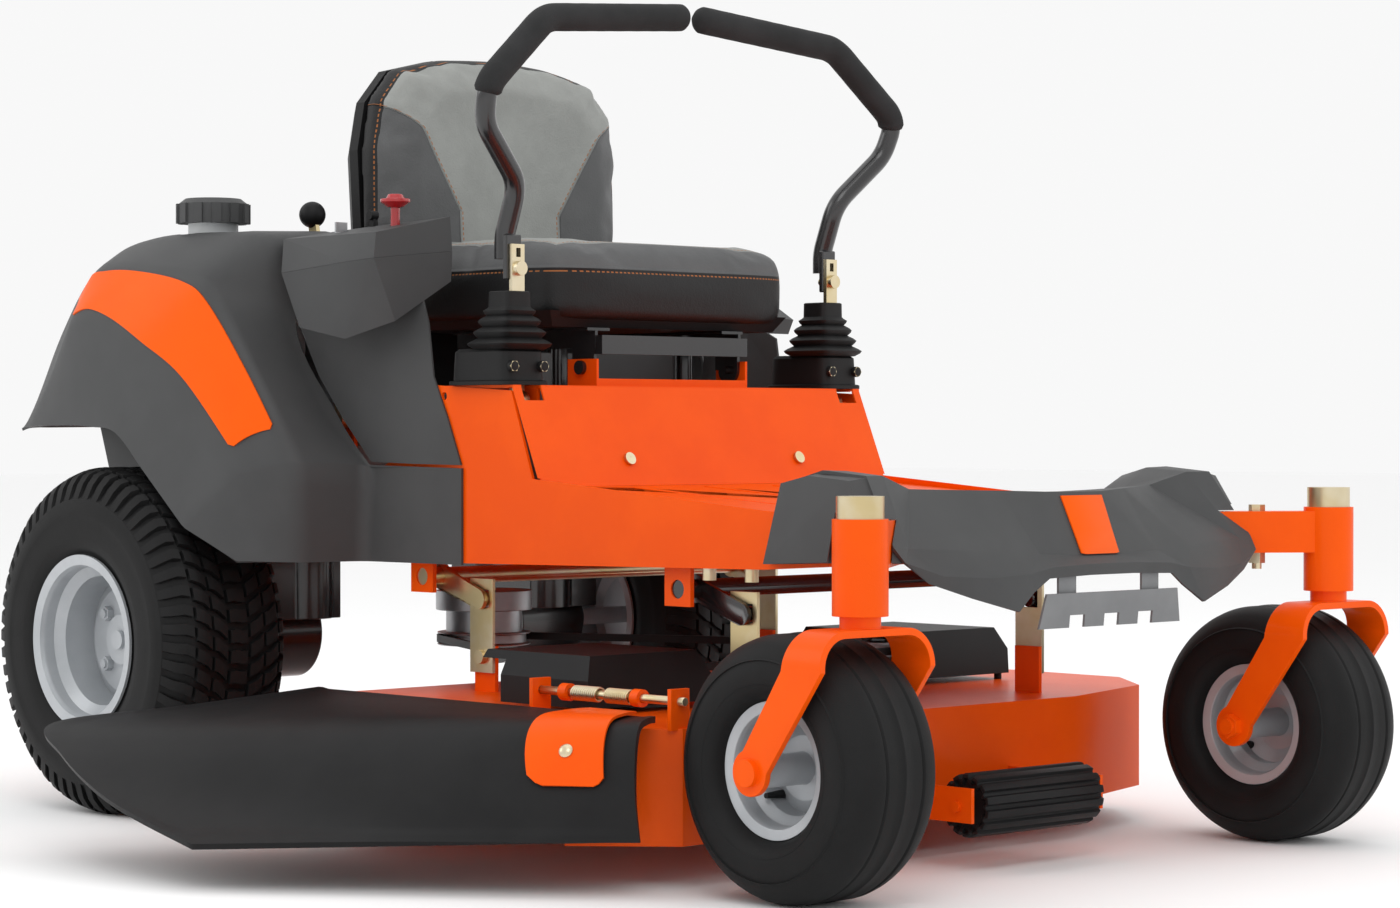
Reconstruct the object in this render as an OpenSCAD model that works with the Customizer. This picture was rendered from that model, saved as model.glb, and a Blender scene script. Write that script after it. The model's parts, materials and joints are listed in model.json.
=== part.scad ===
// Zero turn mower: rear-engine frame on two drive wheels and two casters,
// with a seat, two lap bars and a twin-blade cutting deck hung between the axles.
// X runs across the machine with the operator's right at -X, the front faces -Y,
// Z is up and the wheels stand on z = 0.

/* [Overall] */
// Distance from the rear axle to the front wheel axle
wheelbase = 1225; // [1100:5:1500]
// Distance between the middles of the rear tyres
rear_track = 872; // [850:2:1000]
// Distance between the two caster swivel axes
front_track = 823; // [790:1:1000]

/* [Rear wheels] */
// Outer diameter of the rear tyre
rear_tyre_d = 457; // [420:1:560]
// Section width of the rear tyre
rear_tyre_w = 190; // [150:1:190]
// Diameter of the rear rim where the bead sits
rear_rim_d = 203; // [180:1:240]
// Diameter of the rear axle shaft
axle_d = 25; // [20:1:32]

/* [Front wheels] */
// Outer diameter of the front tyre
front_tyre_d = 290; // [240:1:300]
// Section width of the front tyre
front_tyre_w = 139; // [110:1:145]
// Diameter of the front rim where the bead sits
front_rim_d = 127; // [110:1:150]
// How far the wheel axle trails behind the swivel axis
caster_trail = 78; // [60:1:90]
// Diameter of the axle bolt through the fork
axle_bolt_d = 19; // [14:1:24]
// Diameter of the fork stem in its barrel
stem_d = 25; // [20:1:32]
// Gap between the tyre's side and the fork leg
fork_gap = 10; // [6:1:20]
// Thickness of the fork strap
strap_t = 8; // [6:1:12]
// Width of the fork strap
strap_w = 50; // [40:1:70]

/* [Frame] */
// Half of the width over the frame's side plates
frame_half_w = 305; // [280:1:320]
// Thickness of the frame plates
plate_t = 4; // [3:0.5:8]
// Height of the underside of the frame rails
rail_z = 340; // [330:1:360]
// Height of the deck the seat and levers stand on
pan_z = 562; // [545:1:600]
// Outer diameter of the caster barrel
barrel_d = 60; // [52:1:80]
// Height of the caster barrel
barrel_h = 102; // [80:1:140]
// Height of the square front axle tube
axle_tube_h = 50; // [40:1:60]
// Diameter of the hitch hole in the rear plate
hitch_d = 19; // [12:0.5:26]

/* [Cutting deck] */
// Height of the deck shell's lower edge
deck_z = 46; // [30:1:90]
// Depth of the deck shell
deck_h = 130; // [100:1:150]
// Thickness of the deck shell
deck_t = 4; // [2.5:0.5:6]
// Length of one blade from tip to tip
blade_l = 500; // [420:2:520]
// Distance between the two spindles across the machine
spindle_pitch = 510; // [480:2:540]
// Diameter of the blade spindle shafts
spindle_d = 20; // [16:1:30]
// Diameter of the front roller
roller_d = 74; // [50:1:90]
// Length of the front roller
roller_l = 212; // [150:2:240]

/* [Seat] */
// Width of the seat cushion
seat_w = 440; // [400:2:500]
// Height of the cushion's underside
seat_z = 640; // [620:1:680]
// Thickness of the cushion
cushion_h = 100; // [70:1:120]
// Height of the top of the backrest
back_top = 1014; // [940:2:1080]

/* [Lap bars] */
// Outer diameter of the lap bar tube
bar_d = 25.4; // [20:0.2:30]
// Outer diameter of the foam grip
grip_d = 35; // [31:0.5:42]
// Distance from the middle plane to the lever plate
lever_x = 276; // [265:1:290]
// Gap between the two grips where they meet
grip_gap = 14; // [8:1:40]

/* [Fits] */
// Radial clearance of a shaft that turns in its hole
run_gap = 0.05; // [0.02:0.01:0.1]
// Clearance between parts that lie side by side and move
side_gap = 0.3; // [0.2:0.05:0.5]

/* [Hidden] */
$fn = 48;

// Colours
orange = "#e8500f";
plastic = "#4a4b4c";
black = "#1c1c1d";
zinc = "#c9b98a";
silver = "#c3c7c9";
steel = "#8f9294";

// Wheels
rear_r = rear_tyre_d / 2;
rear_x = rear_track / 2;
front_r = front_tyre_d / 2;
front_x = front_track / 2;
swivel_y = -wheelbase - caster_trail;
fork_in = front_tyre_w / 2 + fork_gap;
fork_top = front_tyre_d - 1 + strap_t;
barrel_z = fork_top + 13;
barrel_top = barrel_z + barrel_h;
cap_h = 24;
// Side plates
plate_in = frame_half_w - plate_t;
pan_t = 4;
rail_end = swivel_y + 150;
arm_z = barrel_z + 47;
// Cutting deck
deck_top = deck_z + deck_h;
deck_front = swivel_y + 253;
spindle_x = spindle_pitch / 2;
spindle_ys = [-760, -700];
belt_z = deck_top + 44;
blade_z = deck_z + 22;
rod_x = -430;
rod_z = deck_top + 30;
rod_d = 10;
chute_lip = 6;
roller_y = deck_front - 122;
roller_z = 76;
clutch_y = -190;
// Seat
tilt_y = -545;
tilt_z = pan_z + 23;
ear_x = 125;
back_w = seat_w / 2;
cushion_front = -592;
// Lap bars
lever_y = -586;
lever_t = 6;
lever_w = 20;
lever_pivot_z = pan_z - 22;
swing_z = pan_z + 143;
rear_plate_y = 268;

// The row's origin lies under the middle of the whole machine
chute_tip_x = -840.5;
rear_end_y = 330;
origin_x = -(chute_tip_x + rear_x + rear_tyre_w / 2) / 2;
origin_y = -(rear_end_y - wheelbase - front_r) / 2;

// ---------------------------------------------------------------- shared shapes
module place() translate([origin_x, origin_y, 0]) children();

// Copy of a right-hand part for the left side
module left() mirror([1, 0, 0]) children();

module both() {
    children();
    left() children();
}

module cyl_x(r, x0, x1, y = 0, z = 0) translate([x0, y, z]) rotate([0, 90, 0]) cylinder(r = r, h = x1 - x0);

module cyl_y(r, y0, y1, x = 0, z = 0) translate([x, y0, z]) rotate([-90, 0, 0])
    cylinder(r = r, h = y1 - y0);

module cyl_z(r, z0, z1, x = 0, y = 0) translate([x, y, z0]) cylinder(r = r, h = z1 - z0);

// Block between two corners
module block(a, b) translate(a) cube(b - a);

// Outline in the YZ plane, extruded from x0 to x1
module side_plate(points, x0, x1) translate([x0, 0, 0]) rotate([90, 0, 90])
    linear_extrude(x1 - x0) polygon(points);

// Solid turned about the X axis from a profile of (radius, x) points
module turned_x(profile, x = 0, y = 0, z = 0) translate([x, y, z]) rotate([0, 90, 0])
    rotate_extrude($fn = 96) polygon(profile);

// Convex block around corner points
module wrap(points) hull() for (p = points) translate(p) cube(0.04, center = true);

function unit(v) = v / max(norm(v), 0.0001);
function arc(cx, cy, r, a0, a1, n = 8) = [for (i = [0:n]) let (a = a0 + (a1 - a0) * i / n)
    [cx + r * cos(a), cy + r * sin(a)]];

// Path with each corner rounded to radius r by n steps
function rounded_path(p, r, n = 5) = concat([p[0]],
    [for (i = [1:len(p) - 2]) let (u = unit(p[i - 1] - p[i]), v = unit(p[i + 1] - p[i]),
        c = min(0.999, max(-0.999, u * v)), half = acos(c) / 2,
        reach = min(r / tan(half), norm(p[i - 1] - p[i]) / 2.2, norm(p[i + 1] - p[i]) / 2.2))
        for (k = [0:n]) let (t = k / n) (1 - t) * (1 - t) * (p[i] + reach * u)
            + 2 * t * (1 - t) * p[i] + t * t * (p[i] + reach * v)],
    [p[len(p) - 1]]);

// Round bar swept along a path, as one closed polyhedron
module sweep(path, r, sides = 16) {
    n = len(path);
    rings = [for (i = [0:n - 1]) let (d = unit(path[min(i + 1, n - 1)] - path[max(i - 1, 0)]),
        a = unit(cross(d, [0.05, 1, 0.02])), b = cross(d, a))
        for (k = [0:sides - 1]) path[i] + r * (cos(360 * k / sides) * a + sin(360 * k / sides) * b)];
    polyhedron(rings, concat(
        [[for (k = [0:sides - 1]) k]],
        [[for (k = [sides - 1:-1:0]) (n - 1) * sides + k]],
        [for (i = [0:n - 2], k = [0:sides - 1])
            [i * sides + k, (i + 1) * sides + k, (i + 1) * sides + (k + 1) % sides,
                i * sides + (k + 1) % sides]]), convexity = 6);
}

// Thin shell over a grid of points: grid[row][column], thickened by t towards one side
module sheet(grid, t) {
    rows = len(grid);
    cols = len(grid[0]);
    n = rows * cols;
    skin = [for (i = [0:rows - 1], j = [0:cols - 1]) grid[i][j]];
    back = [for (i = [0:rows - 1], j = [0:cols - 1])
        let (du = grid[min(i + 1, rows - 1)][j] - grid[max(i - 1, 0)][j],
            dv = grid[i][min(j + 1, cols - 1)] - grid[i][max(j - 1, 0)])
        grid[i][j] + t * unit(cross(du, dv))];
    function id(i, j) = i * cols + j;
    faces = concat(
        [for (i = [0:rows - 2], j = [0:cols - 2]) each
            [[id(i, j), id(i, j + 1), id(i + 1, j + 1)], [id(i, j), id(i + 1, j + 1), id(i + 1, j)]]],
        [for (i = [0:rows - 2], j = [0:cols - 2]) each
            [[n + id(i, j), n + id(i + 1, j + 1), n + id(i, j + 1)],
                [n + id(i, j), n + id(i + 1, j), n + id(i + 1, j + 1)]]],
        [for (i = [0:rows - 2]) each
            [[id(i, 0), id(i + 1, 0), n + id(i + 1, 0)], [id(i, 0), n + id(i + 1, 0), n + id(i, 0)]]],
        [for (i = [0:rows - 2]) let (c = cols - 1) each
            [[id(i, c), n + id(i + 1, c), id(i + 1, c)], [id(i, c), n + id(i, c), n + id(i + 1, c)]]],
        [for (j = [0:cols - 2]) each
            [[id(0, j), n + id(0, j + 1), id(0, j + 1)], [id(0, j), n + id(0, j), n + id(0, j + 1)]]],
        [for (j = [0:cols - 2]) let (r = rows - 1) each
            [[id(r, j), id(r, j + 1), n + id(r, j + 1)], [id(r, j), n + id(r, j + 1), n + id(r, j)]]]);
    polyhedron(concat(skin, back), t > 0 ? [for (f = faces) [f[2], f[1], f[0]]] : faces, convexity = 8);
}

// Smooth curve through control values, evaluated at n steps per span
function spline_at(p, i, t) = let (a = p[max(i - 1, 0)], b = p[i], c = p[i + 1],
    d = p[min(i + 2, len(p) - 1)])
    0.5 * (2 * b + (c - a) * t + (2 * a - 5 * b + 4 * c - d) * t * t
        + (3 * b - a - 3 * c + d) * t * t * t);
function smooth(p, n) = concat([for (i = [0:len(p) - 2], k = [0:n - 1]) spline_at(p, i, k / n)],
    [p[len(p) - 1]]);
// Rows of control points, smoothed along the rows' direction
function smooth_rows(g, n) = let (cols = [for (j = [0:len(g[0]) - 1])
    smooth([for (row = g) row[j]], n)]) [for (i = [0:len(cols[0]) - 1]) [for (c = cols) c[i]]];

// ---------------------------------------------------------------- frame
// Outline of a side plate: rail, upright panel and rear arm
side_outline = [[rail_end, rail_z + 14], [-1050, rail_z + 8], [-518, rail_z], [rear_plate_y, rail_z],
    [rear_plate_y, 434], [-300, 434], [-452, pan_z - 60], [-459, pan_z], [-609, pan_z - 8],
    [-649, 446], [-1060, 414], [rail_end, 412]];
rail_w = 40;
rib_y = [-1060, -640, -330, 120];
// Lever slots through the pan
slot_x = lever_w + 12;
slot_y = [lever_y - 34, lever_y + 40];

module side_frame() difference() {
    union() {
        side_plate(side_outline, -frame_half_w, -plate_in);
        // Lower flange of the rail
        block([-plate_in, rail_end, rail_z + 14], [-frame_half_w + rail_w, -1049, rail_z + 18]);
        block([-plate_in, -1050, rail_z + 14], [-frame_half_w + rail_w, rear_plate_y - plate_t,
            rail_z + 18]);
        // Top flange under the footplate and the fixing flange of the upright panel
        block([-plate_in, -1055, 404], [-frame_half_w + 24, -660, 408]);
    }
    cyl_x(5, -frame_half_w - 1, -plate_in + 1, -480, pan_z - 14);
}

module main_frame() color(orange) place() difference() {
    union() {
        both() side_frame();
        // Cross members between the rails
        for (y = rib_y) block([-plate_in, y, rail_z + 18], [plate_in, y + plate_t, 400]);
        // Pan that carries the seat and the levers
        block([-plate_in, -600, pan_z - pan_t - 1], [plate_in, -459, pan_z - 1]);
        // Engine plate and rear plate with the hitch hole
        block([-plate_in, -445, 430], [plate_in, rear_plate_y, 434]);
        block([-plate_in, rear_plate_y - plate_t, rail_z], [plate_in, rear_plate_y, 430]);
        block([-60, rear_plate_y - 2, rail_z - 20], [60, rear_end_y, rail_z - 12]);
        block([-60, rear_plate_y - plate_t, rail_z - 20], [60, rear_plate_y, rail_z]);
        both() {
            // Pin and bracket of the drive lever
            cyl_x(6, -plate_in - 1, -254, lever_y, lever_pivot_z);
            block([-258, lever_y - 18, lever_pivot_z - 18], [-254, lever_y + 18, pan_z - pan_t]);
            // Lugs that carry the lift shafts
            for (y = lift_shaft_ys)
                block([-plate_in + 12, y - 22, shaft_z - 20], [-plate_in + 18, y + 22, rail_z + 16]);
        }
        // Post and pin of the height lever
        block([lift_hub[0] + 9, lift_hub[1] - 20, 434],
            [lift_hub[0] + 15, lift_hub[1] + 20, lift_hub[2] + 20]);
        cyl_x(6, lift_hub[0] - 7, lift_hub[0] + 15, lift_hub[1], lift_hub[2]);
    }
    both() block([-lever_x - slot_x / 2, slot_y[0], pan_z - 8],
        [-lever_x + slot_x / 2, slot_y[1], pan_z + 2]);
    // Bearings of the lift shafts
    for (y = lift_shaft_ys) cyl_x(11 + run_gap, -plate_in - 1, plate_in + 1, y, shaft_z);
    cyl_z(hitch_d / 2, rail_z - 21, rail_z, 0, rear_end_y - 36);
    // Bore for the engine shaft
    cyl_z(22, 420, 440, 0, clutch_y);
}

module front_panel() color(orange) place() difference() {
    union() {
        // Sloping panel in front of the seat, with a top and a bottom fold
        side_plate([[-613, pan_z - 4], [-610, pan_z - 4], [-662, 437], [-665, 437]], -plate_in - 3,
            plate_in + 3);
        block([-plate_in - 3, -613, pan_z - 4], [plate_in + 3, -600, pan_z - 1]);
    }
    for (x = [-149, 149]) cyl_y(4, -700, -600, x, 469);
    both() block([-lever_x - slot_x / 2, slot_y[0], pan_z - 20], [-lever_x + slot_x / 2, slot_y[1], pan_z]);
    // Lower corners cut back beside the rails
    both() block([-frame_half_w - 1, -670, 430], [-plate_in + side_gap, -640, 447]);
}

module footplate() color(orange) place() union() {
    side_plate([[-1060, 408], [-1060, 411], [-662, 437], [-662, 434]], -plate_in + 1, plate_in - 1);
    for (x = [-180, -60, 60, 180])
        side_plate([[-1030, 409], [-1030, 414], [-700, 435.5], [-700, 432]], x - 6, x + 6);
}

// Axle tube seen from above: a cross bar with an arm swept forward to each barrel
arm_d = unit([front_x - 250, rail_end - 32 - swivel_y]);
arm_n = 19 * [arm_d[1], -arm_d[0]];
arm_end = [-front_x, swivel_y] - 8 * arm_d;
bar_y = [rail_end - 54, rail_end - 16];
function meet(p, y) = p + arm_d * (y - p[1]) / arm_d[1];
arm_points = [arm_end - arm_n, meet(arm_end - arm_n, bar_y[1]), meet(arm_end + arm_n, bar_y[0]),
    arm_end + arm_n];
axle_outline = concat([for (i = [0, 1]) arm_points[i]],
    [for (i = [1, 0, 3, 2]) [-arm_points[i][0], arm_points[i][1]]],
    [for (i = [2, 3]) arm_points[i]]);

module front_axle() color(orange) place() difference() {
    union() {
        translate([0, 0, arm_z]) linear_extrude(axle_tube_h) polygon(axle_outline);
        both() {
            cyl_z(barrel_d / 2, barrel_z, barrel_top, -front_x, swivel_y);
            // Bracket inside the rail
            block([-plate_in + side_gap, rail_end - bracket_l, rail_z + 18 + side_gap],
                [-plate_in + 10, rail_end + 50, 404 - side_gap]);
        }
    }
    both() {
        cyl_z(stem_d / 2 + run_gap, barrel_z - 1, barrel_top + 1, -front_x, swivel_y);
        cyl_z(6, arm_z - 1, arm_z + axle_tube_h + 1, -340, swivel_y + 54);
    }
}

// Dished cover over the front axle with two raised shoulders
cover_t = 4;
axle_gap = 1.5;
bracket_l = 62;
cover_half = [
    [[0, -1130, 425], [0, -1190, 430], [0, -1252, 432], [0, -1282, 362], [0, -1302, 352], [0, -1300, 343]],
    [[-38, -1130, 425], [-38, -1190, 430], [-38, -1252, 432], [-36, -1282, 362], [-38, -1302, 352],
        [-38, -1300, 343]],
    [[-100, -1130, 425], [-103, -1180, 431], [-108, -1228, 434], [-104, -1283, 364],
        [-104, -1302, 350], [-108, -1300, 341]],
    [[-160, -1125, 426], [-164, -1168, 432], [-170, -1200, 435], [-160, -1284, 368],
        [-140, -1300, 345], [-132, -1298, 326]],
    [[-205, -1118, 428], [-208, -1150, 433], [-212, -1184, 436], [-226, -1276, 371],
        [-200, -1296, 342], [-163, -1304, 305]],
    [[-262, -1104, 446], [-264, -1140, 456], [-268, -1196, 452], [-290, -1256, 374],
        [-262, -1282, 345], [-224, -1290, 322]],
    [[-300, -1096, 446], [-302, -1140, 457], [-302, -1204, 452], [-314, -1256, 376],
        [-308, -1268, 361], [-276, -1274, 340]]];

module cover_shoulder() difference() {
    wrap([[-300, -1090, 440], [-300, -1132, 457], [-300, -1206, 453], [-309, -1266, 361],
        [-311, -1060, 356], [-318, -1090, 446], [-320, -1134, 455], [-322, -1200, 450],
        [-334, -1252, 364], [-336, -1080, 356], [-300, -1060, 356], [-300, -1262, 361]]);
    wrap([[-309.5, -1090, 430], [-309.5, -1136, 450], [-309.5, -1204, 446], [-309.5, -1256, 350],
        [-309.5, -1050, 340], [-314, -1092, 438], [-316, -1136, 449], [-318, -1198, 444],
        [-329, -1245, 350], [-332, -1084, 350]]);
    // Room for the rail and the axle's bracket beside the shoulder
    block([-frame_half_w - side_gap, rail_end - bracket_l - side_gap, 300], [-290, -1000, 414 + side_gap]);
    // Arch that the axle arm leaves through
    wrap([[-345, -1180, 330], [-345, -1196, 416], [-345, -1236, 416], [-345, -1262, 330],
        [-290, -1150, 330], [-290, -1158, 414], [-290, -1226, 414], [-290, -1252, 330]]);
}

module front_cover() color(plastic) place() difference() {
    both() {
        sheet(cover_half, cover_t);
        cover_shoulder();
    }
    translate([0, 0, arm_z - axle_gap]) linear_extrude(axle_tube_h + 2 * axle_gap)
        offset(delta = axle_gap) polygon(axle_outline);
}

// Plain orange inserts: one on each fender and one in the middle of the cover
badge_y = [-1257.1, -1285.2];
badge_t = 2.2;
module trim_panels() color(orange) place() {
    wrap([for (x = [-1, 1], d = [0, badge_t])
        each [[36 * x, badge_y[0] - d, 430], [33 * x, badge_y[1] - d, 366]]]);
    both() difference() {
        stripe();
        fender_skin();
    }
}

tab_y = cover_half[0][5][1] + side_gap;
module step_plate() color(steel) place() difference() {
    union() {
        // Tabs behind the cover's lower lip
        both() {
            block([-88, -1304.5, 314], [-58, tab_y + 3, 320]);
            block([-88, tab_y, 314], [-58, tab_y + 3, 350]);
        }
        wrap([[-115, -1306, 323], [115, -1306, 323], [-124, -1302, 284], [124, -1302, 284],
            [-115, -1303, 323], [115, -1303, 323], [-124, -1299, 284], [124, -1299, 284]]);
    }
    for (x = [-60, 0, 60]) block([x - 13, -1310, 280], [x + 13, -1290, 298]);
}

// ---------------------------------------------------------------- body panels
// Fender stations from the foot of the skirt over the wheel to the rear tip.
// Columns: front or inner edge, fold, upper crease, lower crease, wheel arch lip.
skirt_rows = [
    [[-309, -518, 338], [-320, -335, 338], [-408, -322, 338], [-432, -306, 339], [-470, -268, 340]],
    [[-309, -518, 458], [-322, -346, 460], [-418, -326, 464], [-458, -262, 450], [-498, -196, 380]]];
arch_rows = [
    [[-322, -350, 461], [-324, -345, 463], [-420, -322, 468], [-460, -256, 456], [-500, -190, 385]],
    [[-333, -300, 522], [-350, -292, 530], [-440, -262, 580], [-474, -146, 566], [-502, -108, 452]],
    [[-357, -240, 645], [-370, -232, 655], [-454, -196, 674], [-486, -66, 612], [-503, -44, 502]],
    [[-300, -256, 752], [-398, -240, 750], [-459, -150, 702], [-488, 4, 646], [-503, 15, 510]],
    [[-300, -150, 767], [-404, -130, 764], [-462, -52, 718], [-489, 50, 660], [-502, 66, 512]],
    [[-300, 20, 768], [-404, 20, 763], [-461, 30, 722], [-488, 82, 654], [-500, 108, 512]],
    [[-300, 122, 738], [-400, 112, 738], [-456, 86, 712], [-482, 104, 640], [-498, 140, 512]],
    [[-300, 205, 650], [-398, 198, 652], [-450, 165, 640], [-475, 150, 585], [-495, 170, 511]],
    [[-300, 270, 575], [-395, 262, 575], [-445, 225, 560], [-470, 200, 540], [-490, 190, 510]],
    [[-300, 320, 512], [-395, 305, 511], [-445, 255, 510], [-470, 225, 509], [-488, 205, 508]]];
fender_t = 4;
fender_rows = smooth_rows(arch_rows, 3);

module fender_skin() {
    sheet(skirt_rows, -fender_t);
    sheet(fender_rows, -fender_t);
}

module rear_fender(neck = false) difference() {
    union() {
        fender_skin();
        // Inner wall that stands on the frame beside the engine
        side_plate([[-250, 434 + side_gap], [rear_plate_y, 434 + side_gap], [300, 515], [262, 572],
            [196, 648], [118, 732], [20, 764], [-150, 763], [-246, 748]], -300 - fender_t, -300);
    }
    if (neck) cyl_z(neck_r + 4, 745, 790, neck_at[0], neck_at[1]);
}

module rear_fender_right() color(plastic) place() rear_fender(true);
module rear_fender_left() color(plastic) place() left() rear_fender();

// One point of a fender crease at station s
function crease(col, s) = let (i = min(floor(s), len(arch_rows) - 2), p = [for (r = arch_rows) r[col]])
    spline_at(p, i, s - i);
stripe_n = 16;
stripe_rows = [for (k = [0:stripe_n]) let (t = k / stripe_n,
    b = crease(2, 0.4 + 5.7 * t), c = crease(3, 0.42 + 5.2 * t), out = [-1.2, -0.9, 0.6])
    [b + (c - b) * 0.06 + out, b + (c - b) * 0.5 + 1.1 * out, b + (c - b) * 0.92 + out]];
module stripe() sheet(stripe_rows, -2.2);

// Panels between the frame and the fender, cut off under the console and the tray
cover_rows = [
    [[-308.3, -516, 462], [-315, -430, 463], [-321, -352, 465]],
    [[-308.3, -490, 520], [-318, -395, 520], [-331, -306, 520]],
    [[-308.3, -462, 573], [-322, -360, 574], [-342, -270, 575]]];
cover_upper = [
    [[-308.3, -452, 640], [-326, -350, 640], [-355, -246, 640]],
    [[-308.3, -430, 700], [-330, -350, 700], [-376, -243, 700]]];
cover_under_tray = [[[-308.3, -452, 632], [-326, -350, 672], [-376, -243, 708]]];
module side_covers() color(plastic) place() {
    difference() {
        sheet(concat(cover_rows, cover_upper), -3);
        with_gap(concat(console_floor, console_rim));
    }
    left() difference() {
        sheet(concat(cover_rows, cover_under_tray), -3);
        with_gap(tray);
    }
}
// Hull of points, larger all round by the gap between two parts
module with_gap(points) wrap([for (p = points, dx = [-side_gap, side_gap], dy = [-side_gap, side_gap],
    dz = [-side_gap, side_gap]) p + [dx, dy, dz]]);

// Console: a box with a chamfered outer edge, closed by its lid on a sloping fit line
function rim_z(x, y) = 706 + 0.1 * (x + 400) - 0.07 * (y + 268);
console_wall = 4;
console_floor = [[-395, -300, 636], [-388, -385, 620], [-352, -441, 642], [-264, -443, 694],
    [-262, -262, 694]];
console_rim = [for (p = [[-400, -268], [-400, -400], [-386, -441], [-262, -443], [-262, -262]])
    [p[0], p[1], rim_z(p[0], p[1])]];
console_top = [[-392, -262, 750], [-392, -395, 741], [-380, -438, 752], [-264, -441, 776],
    [-264, -262, 770]];
tray = [[-380, -262, 746], [-306, -262, 750], [-372, -420, 660], [-306, -424, 664], [-372, -262, 700],
    [-314, -420, 640], [-366, -416, 640], [-314, -262, 700]];
function raised(p, dz) = [for (q = p) q + [0, 0, dz]];
function inset(p, d) = [for (q = p) [q[0] + (q[0] < -330 ? d : -d), q[1] + (q[1] < -350 ? d : -d), q[2]]];

module console() color(plastic) place() {
    difference() {
        wrap(concat(console_floor, console_rim));
        wrap(concat(raised(inset(console_floor, console_wall), console_wall),
            raised(inset(console_rim, console_wall), console_wall)));
    }
    // Low tray with a cup pocket on the other side
    left() difference() {
        wrap(tray);
        cyl_z(28, 672, 800, -341, -330);
    }
}

module console_lid() color(plastic) place() difference() {
    wrap(concat(raised(console_rim, side_gap), console_top));
    wrap(concat(raised(inset(console_rim, console_wall), -console_wall),
        raised(inset(console_top, console_wall), -console_wall)));
    for (p = lid_holes) cyl_z(p[2], 600, 800, p[0], p[1]);
    block([throttle_at[0] - 2 - side_gap, throttle_at[1] - 24, 735],
        [throttle_at[0] + 2 + side_gap, throttle_at[1] + 24, 800]);
}
knob_at = [-318, -398];
key_at = [-352, -330];
throttle_at = [-292, -318];
lid_holes = [[knob_at[0], knob_at[1], 7], [key_at[0], key_at[1], 10]];

// ---------------------------------------------------------------- fuel tank
neck_at = [-356, -56];
neck_r = 33;
cap_r = 49;
cap_z = 780;
module fuel_tank() color("#e6e6e0") place() difference() {
    union() {
        block([-394, -190, 560], [-300 - fender_t - side_gap, -16, 742]);
        cyl_z(neck_r, 740, cap_z + 10, neck_at[0], neck_at[1]);
    }
    block([-390, -186, 564], [-316, -20, 738]);
    cyl_z(neck_r - 4, 730, cap_z + 20, neck_at[0], neck_at[1]);
}

module fuel_cap() color(plastic) place() translate([neck_at[0], neck_at[1], cap_z]) difference() {
    union() {
        cylinder(r = cap_r - 3, h = 26);
        translate([0, 0, 26]) cylinder(r1 = cap_r - 3, r2 = cap_r - 12, h = 7);
        for (a = [0:30:330]) rotate([0, 0, a]) translate([cap_r - 8, -6, 0]) cube([8, 12, 26]);
    }
    translate([0, 0, -1]) cylinder(r = neck_r + side_gap, h = 11 + side_gap);
}

// ---------------------------------------------------------------- controls
module pto_knob() color("#c3202a") place() {
    cyl_z(6, 700, 788, knob_at[0], knob_at[1]);
    translate([knob_at[0], knob_at[1], 0]) {
        translate([0, 0, 787]) cylinder(r1 = 9, r2 = 19, h = 7);
        translate([0, 0, 794]) cylinder(r = 19, h = 4);
        translate([0, 0, 798]) cylinder(r1 = 12, r2 = 9, h = 6);
    }
}

module ignition_key() color(steel) place() {
    cyl_z(9.5, 738, 757, key_at[0], key_at[1]);
    block([key_at[0] - 9, key_at[1] - 1.5, 756], [key_at[0] + 9, key_at[1] + 1.5, 770]);
}

module throttle_lever() color(black) place() translate([throttle_at[0], throttle_at[1], 0]) {
    cyl_x(9, -5, 5, 0, 748);
    translate([-2, -4, 748]) cube([4, 8, 32]);
    cyl_x(6, -6, 6, 0, 782);
}

lift_hub = [-281, -232, 520];
lift_lean = 12;
module height_lever() color(zinc) place() translate(lift_hub) difference() {
    union() {
        cyl_x(15, -6, 7);
        rotate([-lift_lean, 0, 0]) {
            translate([-3, -8, 0]) cube([6, 16, 262]);
            translate([0, 0, 276]) rotate_extrude() difference() {
                circle(r = 17.5);
                translate([-40, -20]) square([40, 40]);
            }
        }
    }
    cyl_x(6 + run_gap, -20, 20);
}

// ---------------------------------------------------------------- seat
module seat_hinge() color(orange) place() difference() {
    union() {
        block([-ear_x - 8, tilt_y - 28, pan_z - 1], [ear_x + 8, tilt_y + 28, pan_z + 3]);
        both() block([-ear_x - 8, tilt_y - 28, pan_z - 1], [-ear_x - 4, tilt_y + 28, pan_z + 34]);
        block([-ear_x - 8, tilt_y - 28, pan_z - 1], [ear_x + 8, tilt_y - 25, pan_z + 9]);
    }
    cyl_x(5 + run_gap, -ear_x - 20, ear_x + 20, tilt_y, tilt_z);
}

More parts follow.
